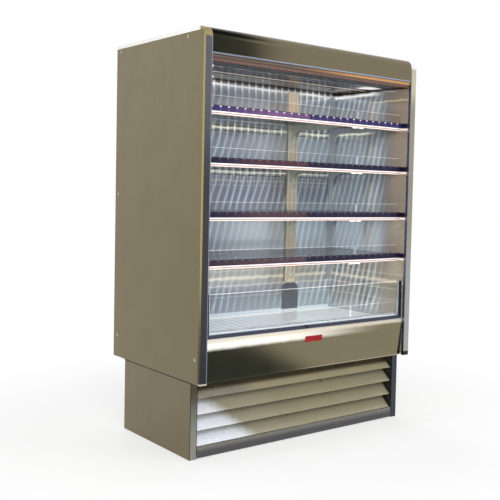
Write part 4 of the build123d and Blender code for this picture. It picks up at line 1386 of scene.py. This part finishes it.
@dataclass
class Body:
    """Insulated body: sheets, standards and the strap that joins the duct panel."""

    strap: tuple[float, float, float, float] = (905.0, 1019.0, 545.0, 692.0)
    strap_thick: float = 1.6
    shoulder: float = 34.0
    screws: tuple[tuple[float, float], ...] = ((918, 640), (1006, 640), (918, 556), (1006, 556))
    foot_profile: tuple[tuple[float, float], ...] = (
        (DUCT_Y + 1.6, 558.0), (DUCT_Y + 1.6, 540.0), (DUCT_Y + 4.6, 532.0))

    def build(self) -> None:
        """Dress the sheets; make the strap, its four screws and the strip at the duct's foot."""
        dress(WRAP, "outer_wrap")
        dress(FOAM, "insulated_tub")
        dress(LINER, "liner_left", "liner_right")
        dress(BACK, "duct_panel")
        dress(STANDARD, "shelf_standards")
        x0, x1, z0, z1 = self.strap
        plate = block((x0, DUCT_Y - self.strap_thick, z0), (x1, DUCT_Y + 0.1, z1))
        bevel_edges(plate, self.shoulder, 10,
                    lambda spot, way: abs(way.y) > STRAIGHT and spot.z > at(0, 0, z1 - 5).z)
        inset_face(plate, Vector((0, -1, 0)), 7.0, -0.6)
        round_edges(plate, 0.5)
        place(plate, "duct_strap", "cabinet", STRAP)
        heads = []
        for x, z in self.screws:
            head = bar((x, DUCT_Y - 0.8, z), (x, DUCT_Y - 1.8, z), 5.0, 20, 4.4)
            heads.append(round_edges(head, 0.2))
        place(join(heads), "strap_screws", "cabinet", SCREW)
        foot = folded(self.foot_profile, LINER_L + 4, LINER_R - 4, 0.8)
        place(foot, "duct_foot_strip", "cabinet", BACK)


@dataclass
class Shelf:
    """One shelf: channels, ticket strips, light bars, clear stops and the lamp link."""

    number: int
    top: float
    light: float
    start_colour: Colour
    left_colour: Colour
    right_colour: Colour
    split: float = 625.0
    ends: tuple[float, float] = (41.5, 1253.5)
    link: tuple[float, float] = (905.0, 978.0)
    link_end: float = 24.0
    bar_spans: tuple[tuple[float, float], ...] = ((62.0, 930.0), (974.0, 1232.0))
    bar_depth: tuple[float, float] = (68.0, 84.0)
    bar_drop: float = 7.6
    bar_height: float = 12.0
    bow: tuple[tuple[float, float], ...] = (    # ticket strip: how far out, and how far down
        (0.0, 25.4), (0.5, 21.0), (0.8, 14.0), (0.5, 6.0), (0.0, 2.2))

    @property
    def body(self) -> str:
        """The body that carries this shelf."""
        return f"shelf_{self.number}"

    def fades(self, side: str) -> tuple[Zone, ...]:
        """Change of painted reflection colour along the left strip, from its outer end.

        Args:
            side: Which strip, left or right.

        Returns:
            The zones, none on the right.
        """
        low, high = self.left_colour, self.start_colour
        if side == "right" or low == high:
            return ()
        return (Zone(Axis.X, DEEP, 250, high, soft=150),)

    def tickets(self) -> None:
        """Two bowed strips in the ticket holder, each in one painted reflection colour, with
        painted glints.
        """
        top = self.top
        profile = [(SHELF_FRONT + 1.1 - out, top - down) for out, down in self.bow]
        left, right = self.ends
        runs = (("left", left, self.split, self.left_colour),
                ("right", self.split + 0.6, right, self.right_colour))
        # painted glints of the lamp chips, strongest on the first shelf
        dots = 0.7 if self.number == 1 else 0.1
        for side, x0, x1, colour in runs:
            finish = Coating(f"ticket_{self.number}_{side}", "dark_channel", colour, rough=0.4,
                             vary=0.2, gloss=0.15, texture=60, zones=self.fades(side), glints=(
                                 Zone(Axis.Z, top - 7, top, tone(240, 236, 244), 1.2, dots),
                                 Zone(Axis.Z, top - 24, top - 7, tone(150, 130, 170), 2, dots / 5)))
            strip = folded(profile, x0, x1, 0.35)
            place(strip, f"{self.body}_ticket_{side}", self.body, finish)

    def lamps(self) -> None:
        """A light bar under each pan's front edge, with its strip of light chips."""
        z = self.top - self.bar_drop
        low = z - self.bar_height
        y0, y1 = self.bar_depth
        bars = []
        for x0, x1 in self.bar_spans:
            housing = block((x0, y0, low), (x1, y1, z))
            bevel_edges(housing, 4.0, 3, lambda spot, way: abs(way.x) > STRAIGHT
                        and spot.z < at(0, 0, z - self.bar_height / 2).z)
            bars.append(housing)
        place(join(bars), f"{self.body}_lamp_bars", self.body, ALUMINIUM)
        lens = [(y0 + 2, low - 0.4), ((y0 + y1) / 2, low - 1.0), (y1 - 2, low - 0.4)]
        strips = [folded(lens, x0 + 6, x1 - 6, 0.6) for x0, x1 in self.bar_spans]
        chips = Glow(f"light_chips_{self.number}", "clear_acrylic", (0.86, 0.93, 1.0),
                     strength=self.light)
        place(join(strips), f"{self.body}_lamp_chips", self.body, chips)

    def clip(self) -> None:
        """White link between the two light bars, under the channel's joint."""
        x0, x1 = self.link
        z = self.top - 41.2
        ends = []
        for a, b in ((x0, x0 + self.link_end), (x1 - self.link_end, x1)):
            shell = block((a, 54.6, z - 7), (b, 63, z))
            inset_face(shell, Vector((0, -1, 0)), 1.4, -0.8)
            ends.append(round_edges(shell, 1.2))
        bridge = folded([(56.5, z - 1.5), (56.5, z - 5.5)], x0 + 22, x1 - 22, 3.0)
        ends.append(round_edges(bridge, 0.7))
        place(join(ends), f"{self.body}_lamp_link", self.body, PALE_PLASTIC)

    def build(self) -> None:
        """Make the shelf's pieces and dress its nodes."""
        self.tickets()
        self.lamps()
        self.clip()
        dress(shelf_finish(self.number, self.top), f"{self.body}_wide", f"{self.body}_narrow")
        dress(channel_finish(self.number, self.top), f"{self.body}_channels")
        dress(stop_finish(self.number, self.top + 44), f"{self.body}_stops")
        dress(BRACKET, f"{self.body}_brackets")


@dataclass
class Canopy:
    """Header, lamp, ceiling and air grille."""

    lamp_y: tuple[float, float] = (22.6, 37.4)
    pins: tuple[float, ...] = (1746.0, 1698.0)

    def build(self) -> None:
        """Make the lamp's light strip and the curtain pins, and dress the nodes."""
        y0, y1 = self.lamp_y
        middle = (y0 + y1) / 2
        lens = [(y0, 1764.6), (middle, 1763.4), (y1, 1764.6)]
        strip = folded(lens, LINER_L + 22, LINER_R - 22, 0.8)
        place(strip, "canopy_light_strip", "cabinet", CANOPY_CHIPS)
        pins = []
        for z in self.pins:
            shaft = bar((LINER_L - 0.5, 60, z), (72, 60, z), 3.4, 20)
            knob = round_edges(bar((70, 60, z), (79, 60, z), 5.0, 20), 1.4, 3)
            pins += [shaft, knob]
        place(join(pins), "curtain_pins", "cabinet", PALE_PLASTIC)
        dress(HEADER, "canopy_fascia")
        dress(LAMP_HOUSING, "canopy_lamp")
        dress(CEILING_SHEET, "canopy_liner")
        dress(ALUMINIUM, "discharge_grille")


@dataclass
class Deck:
    """Bottom deck, bumper, front glass and the plate on the bumper."""

    plate_size: tuple[float, float] = (105.0, 28.0)
    plate_thick: float = 1.6
    plate_z: float = 498.0
    bumper_foot: float = 352.0
    lean: tuple[float, float, float] = (24.0, 9.0, 194.0)   # y at its foot and top, and its rise
    bead_x: tuple[float, float] = (60.4, 1231.7)

    def plate(self) -> None:
        """Plain plate with a raised rim and soft corners, on the leaning bumper."""
        low, high, rise = self.lean
        wide, tall = self.plate_size
        y = low + (high - low) * (self.plate_z - self.bumper_foot) / rise
        z, middle = self.plate_z, WIDTH / 2
        piece = block((middle - wide / 2, y - self.plate_thick, z - tall / 2),
                      (middle + wide / 2, y, z + tall / 2))
        bevel_edges(piece, 3.0, 4, lambda spot, way: abs(way.y) > STRAIGHT)
        inset_face(piece, Vector((0, -1, 0)), 1.8, -0.4)
        round_edges(piece, 0.3)
        spin = Matrix.Rotation(math.atan2(low - high, rise), 4, "X")
        pivot = at(middle, y, z)
        piece.data.transform(Matrix.Translation(pivot) @ spin @ Matrix.Translation(-pivot))
        place(piece, "bumper_plate", "cabinet", RED, ("badge_plate",))

    def build(self) -> None:
        """Make the plate, the glass beads and the channel splice, and dress the nodes."""
        self.plate()
        beads = [block((x, 25.4, 562), (x + 3, 36.6, 744)) for x in self.bead_x]
        for bead in beads:
            inset_face(bead, Vector((0, 0, 1)), 0.8, -1.0)
            round_edges(bead, 0.5)
        place(join(beads), "glass_beads", "cabinet", BEAD)
        splice = folded([(38.4, 556), (38.4, 562.6), (23.6, 562.6), (23.6, 548)], 604, 622, 0.7)
        place(round_edges(splice, 0.2, 1), "channel_splice", "cabinet", GASKET)
        dress(DECK_SHEET, "deck_pan")
        dress(stop_finish(5, 626), "deck_stop")
        dress(GRILLE, "return_grille")
        dress(BUMPER, "bumper_panel")
        dress(FRAME_BLUE, "glass_frame")
        dress(GLASS, "front_glass")


@dataclass
class BaseFrame:
    """Base: louvers, kick plate, corner posts and levelling feet."""

    feet: tuple[tuple[str, float, float], ...] = (
        ("front_left", 90.0, 148.0), ("front_right", 1205.0, 148.0),
        ("rear_left", 90.0, 635.0), ("rear_right", 1205.0, 635.0))
    pad: tuple[float, float, float] = (19.0, 17.0, 8.0)     # radii at floor and top, height
    nut: tuple[float, float] = (9.0, 14.5)                  # radius, height of its top
    stud: tuple[float, float] = (4.4, 52.0)
    thread_pitch: float = 2.4
    thread_start: float = 15.0
    thread_length: float = 36.0
    thread_proud: float = 0.6

    def foot(self, x: float, y: float) -> bpy.types.Object:
        """Rubber-edged pad, six-sided nut and threaded stud, as one piece.

        Args:
            x: Middle of the foot across the cabinet.
            y: Middle of the foot along its depth.

        Returns:
            The joined piece.
        """
        floor_radius, top_radius, pad_top = self.pad
        nut_radius, nut_top = self.nut
        radius, stud_top = self.stud
        start, crest = self.thread_start, self.thread_start + self.thread_pitch / 2
        pad = bar((x, y, 0), (x, y, pad_top), floor_radius, 40, top_radius)
        pad = round_edges(pad, 1.4, 3)
        nut = round_edges(bar((x, y, pad_top), (x, y, nut_top), nut_radius, 6), 0.6)
        stud = bar((x, y, nut_top - 0.5), (x, y, stud_top), radius, 20)
        ring = bar((x, y, start), (x, y, start + self.thread_pitch), radius, 20)
        pick(ring, Part.VERT, lambda spot, normal: True)
        bpy.ops.mesh.subdivide(number_cuts=1)
        leave_edit()
        for point in ring.data.vertices:
            offset = Vector((*(point.co - at(x, y, 0)).xy, 0))
            high = abs(point.co.z - at(0, 0, crest).z) < SAME_PLACE
            if high and offset.length > (radius - 0.4) * MM:
                point.co += offset.normalized() * self.thread_proud * MM
        count = int(self.thread_length // self.thread_pitch)
        rings = [ring] + [copy_of(ring, 0, 0, i * self.thread_pitch) for i in range(1, count)]
        return join([pad, nut, stud, *rings])

    def build(self) -> None:
        """Make the feet and dress the sheets."""
        for corner, x, y in self.feet:
            place(self.foot(x, y), f"levelling_{corner}", f"foot_{corner}", RUBBER,
                  (f"foot_{corner}",))
        dress(LOUVER, "louver_grille")
        dress(KICK, "kick_plate")
        dress(BASE, "base_side_left", "base_side_right")
        dress(WRAP, "base_tray")


@dataclass
class Machine:
    """Condensing unit in the base and the cooling coil behind the duct panel."""

    discharge_radius: float = 4.8
    discharge: tuple[Point, ...] = (
        (690, 380, 174.5), (650, 360, 174.5), (630, 330, 194.5), (630, 260, 234.5),
        (580, 205, 264.5), (528, 191, 270.5))
    suction_radius: float = 6.3
    suction: tuple[Point, ...] = (
        (820, 460, 174.5), (865, 480, 174.5), (880, 500, 234.5), (880, 520, 324.5),
        (880, 520, 353))
    liquid_radius: float = 3.2
    liquid: tuple[Point, ...] = (
        (522, 191, 60), (560, 205, 50), (610, 230, 46), (700, 230, 46), (780, 230, 46),
        (820, 250, 60), (910, 380, 120), (920, 510, 260), (920, 520, 353))
    drier: tuple[Point, Point] = ((670, 230, 46), (765, 230, 46))
    drier_radius: float = 11.0
    conduit_radius: float = 6.0
    conduit: tuple[Point, ...] = (
        (980, 380, 110), (950, 380, 110), (900, 385, 112), (850, 340, 120),
        (760, 318, 122), (680, 340, 124), (640, 400, 122), (636, 420, 120))
    box_front: float = 291.0
    box_screws: tuple[tuple[float, float], ...] = ((992, 44), (992, 204), (1188, 44), (1188, 204))

    def pipes(self) -> None:
        """Copper lines between compressor, coil and cabinet, and the filter drier."""
        lines = [tube(self.discharge, self.discharge_radius),
                 tube(self.suction, self.suction_radius), tube(self.liquid, self.liquid_radius)]
        drier = round_edges(bar(*self.drier, self.drier_radius, 28), 5, 4)
        place(join(lines + [drier]), "copper_lines", "cabinet", COPPER)

    def build(self) -> None:
        """Make the lines, the box's screws and the conduit, and dress the nodes."""
        self.pipes()
        conduit = tube(self.conduit, self.conduit_radius)
        place(conduit, "conduit", "cabinet", BLACK_ENAMEL)
        y = self.box_front
        heads = [round_edges(bar((x, y, z), (x, y - 1.6, z), 4, 18, 3), 0.4)
                 for x, z in self.box_screws]
        place(join(heads), "box_screws", "cabinet", SCREW)
        dress(ALUMINIUM, "condenser_coil", "evaporator_coil", "condenser_fan", "evaporator_fan")
        dress(WRAP, "condenser_shroud", "evaporator_motor")
        dress(GREY_ENAMEL, "condenser_motor", "control_box")
        dress(BLACK_ENAMEL, "compressor")


# ---------------------------------------------------------------- the studio
@dataclass
class Studio:
    """Camera, lamps, floor and background."""

    eye: Point = (-1894.05, -3053.42, 1210.07)
    yaw: float = 0.701795
    pitch: float = -0.048089
    roll: float = 0.0251919
    focal: float = 829.164
    centre: tuple[float, float] = (324.233, 231.033)
    frame_px: float = 500.0
    lamps: tuple[tuple[str, Point, float, float], ...] = (      # place, side and watts
        ("key_lamp", (-2.2, -3.7, 1.9), 2.4, 150.0),
        ("fill_lamp", (2.4, -3.6, 1.5), 2.2, 60.0),
        ("rear_lamp", (0.5, 3.6, 3.4), 2.4, 70.0))
    aim: Point = (0.0, 0.0, 1.0)
    dark: Colour = (0.105, 0.135, 0.14)

    def camera(self) -> None:
        """The photograph's camera."""
        data = bpy.data.cameras.new("photo_camera")
        camera = bpy.data.objects.new("photo_camera", data)
        bpy.context.scene.collection.objects.link(camera)
        cy, sy = math.cos(self.yaw), math.sin(self.yaw)
        cp, sp = math.cos(self.pitch), math.sin(self.pitch)
        forward = Vector((sy * cp, cy * cp, sp))
        level = Vector((cy, -sy, 0))
        rise = level.cross(forward)
        cr, sr = math.cos(self.roll), math.sin(self.roll)
        right = cr * level + sr * rise
        up = -sr * level + cr * rise
        turn = Matrix((right, up, -forward)).transposed().to_4x4()
        camera.matrix_world = Matrix.Translation(at(*self.eye)) @ turn
        data.sensor_width, data.sensor_fit = 36.0, "HORIZONTAL"
        data.lens = self.focal * data.sensor_width / self.frame_px
        half = self.frame_px / 2
        data.shift_x = (half - self.centre[0]) / self.frame_px
        data.shift_y = (self.centre[1] - half) / self.frame_px
        data.clip_start, data.clip_end = 0.05, 60.0
        bpy.context.scene.camera = camera

    def lamp(self, name: str, spot: Point, size: float, power: float) -> None:
        """A square soft lamp that lights the middle of the cabinet.

        Args:
            name: The lamp's name.
            spot: Where it hangs, in the frame's metres.
            size: Its side.
            power: Its watts.
        """
        data = bpy.data.lights.new(name, "AREA")
        data.shape, data.size, data.energy = "SQUARE", size, power
        lamp = bpy.data.objects.new(name, data)
        lamp.visible_glossy = lamp.visible_transmission = False
        bpy.context.scene.collection.objects.link(lamp)
        lamp.location = spot
        way = Vector(self.aim) - Vector(spot)
        lamp.rotation_euler = way.to_track_quat("-Z", "Y").to_euler()

    def floor(self) -> None:
        """Pale floor that keeps the object's shadow."""
        take()
        bpy.ops.mesh.primitive_plane_add(size=40, location=(0, 0, 0))
        plane = bpy.context.object
        plane.name = "floor"
        material = bpy.data.materials.new("pale_floor")
        material.use_nodes = True
        sheet = NodeSheet(material.node_tree)
        shader = material.node_tree.nodes["Principled BSDF"]
        shader.inputs["Base Color"].default_value = (0.92, 0.92, 0.92, 1)
        shader.inputs["Roughness"].default_value = 0.9
        white = sheet.add("Emission", {"Color": (1, 1, 1, 1), "Strength": 1.0})
        coord = sheet.add("TexCoord").outputs["Object"]
        away = sheet.add("VectorMath", {0: coord}, operation="LENGTH").outputs["Value"]
        share = sheet.math("MULTIPLY", sheet.seen(), sheet.span(away, 0.9, 2.2, 0.55, 1.0, True))
        both = sheet.add("MixShader", {0: share, 1: shader.outputs[0], 2: white.outputs[0]})
        sheet.put(material.node_tree.nodes["Material Output"].inputs["Surface"], both.outputs[0])
        plane.data.materials.append(material)

    def card(self, name: str, low: Point, high: Point, fade: tuple[float, float],
             lean: float = 0.0) -> None:
        """A dark studio card that only the bright metal shows, fading to white on its right.

        Args:
            name: The card's name.
            low: Lowest corner, in millimetres of the cabinet.
            high: Highest corner.
            fade: Where the fade begins and ends across.
            lean: How far the fade shifts to the left per millimetre of depth.
        """
        card = block(low, high)
        card.name = name
        card.visible_camera = card.visible_diffuse = card.visible_shadow = False
        card.visible_transmission = False
        material = bpy.data.materials.new(name)
        material.use_nodes = True
        sheet = NodeSheet(material.node_tree)
        material.node_tree.nodes.remove(material.node_tree.nodes["Principled BSDF"])
        place = sheet.add("SeparateXYZ", {0: sheet.add("TexCoord").outputs["Object"]}).outputs
        across = sheet.math("ADD", place["X"], sheet.math(
            "MULTIPLY", sheet.math("SUBTRACT", place["Y"], at(0, 0, 0).y), lean))
        share = sheet.span(across, Axis.X.metres(fade[0]), Axis.X.metres(fade[1]), smooth=True)
        light = sheet.add("Emission", {"Color": sheet.mix(share, self.dark, (1.0, 1.0, 1.0))})
        sheet.put(material.node_tree.nodes["Material Output"].inputs["Surface"], light.outputs[0])
        card.data.materials.append(material)

    def world(self) -> None:
        """Even light, and a white background where it is seen, also in metal and glass."""
        world = bpy.data.worlds.new("studio")
        bpy.context.scene.world = world
        world.use_nodes = True
        sheet = NodeSheet(world.node_tree)
        world.node_tree.nodes.clear()
        strength = sheet.span(sheet.seen(), 0, 1, 0.55, 1.0)
        back = sheet.add("Background", {"Color": (1, 1, 1, 1), "Strength": strength})
        sheet.add("OutputWorld", {"Surface": back.outputs[0]})

    def build(self) -> None:
        """Set the studio up."""
        self.camera()
        self.world()
        self.floor()
        for lamp in self.lamps:
            self.lamp(*lamp)
        self.card("high_card", (700, -3100, 1750), (2900, -3060, 6400), (2360, 2700))
        self.card("top_card", (-600, -3060, 3600), (2700, 1200, 3610), (1120, 1480), 0.41)
        self.card("low_card", (-300, -2500, 3), (1500, -520, 6), (1110, 1400))


def main() -> None:
    """Build every sub-assembly in order."""
    logging.basicConfig(level=logging.INFO, format="%(name)s: %(message)s")
    EndPanels().build()
    Body().build()
    for number, (top, looks) in enumerate(zip(SHELF_TOPS, SHELF_LOOKS), start=1):
        Shelf(number, top, *looks).build()
    Canopy().build()
    Deck().build()
    BaseFrame().build()
    Machine().build()
    Studio().build()
    scene = bpy.context.scene
    scene.view_settings.view_transform = "Standard"


if __name__ == "__main__":
    main()
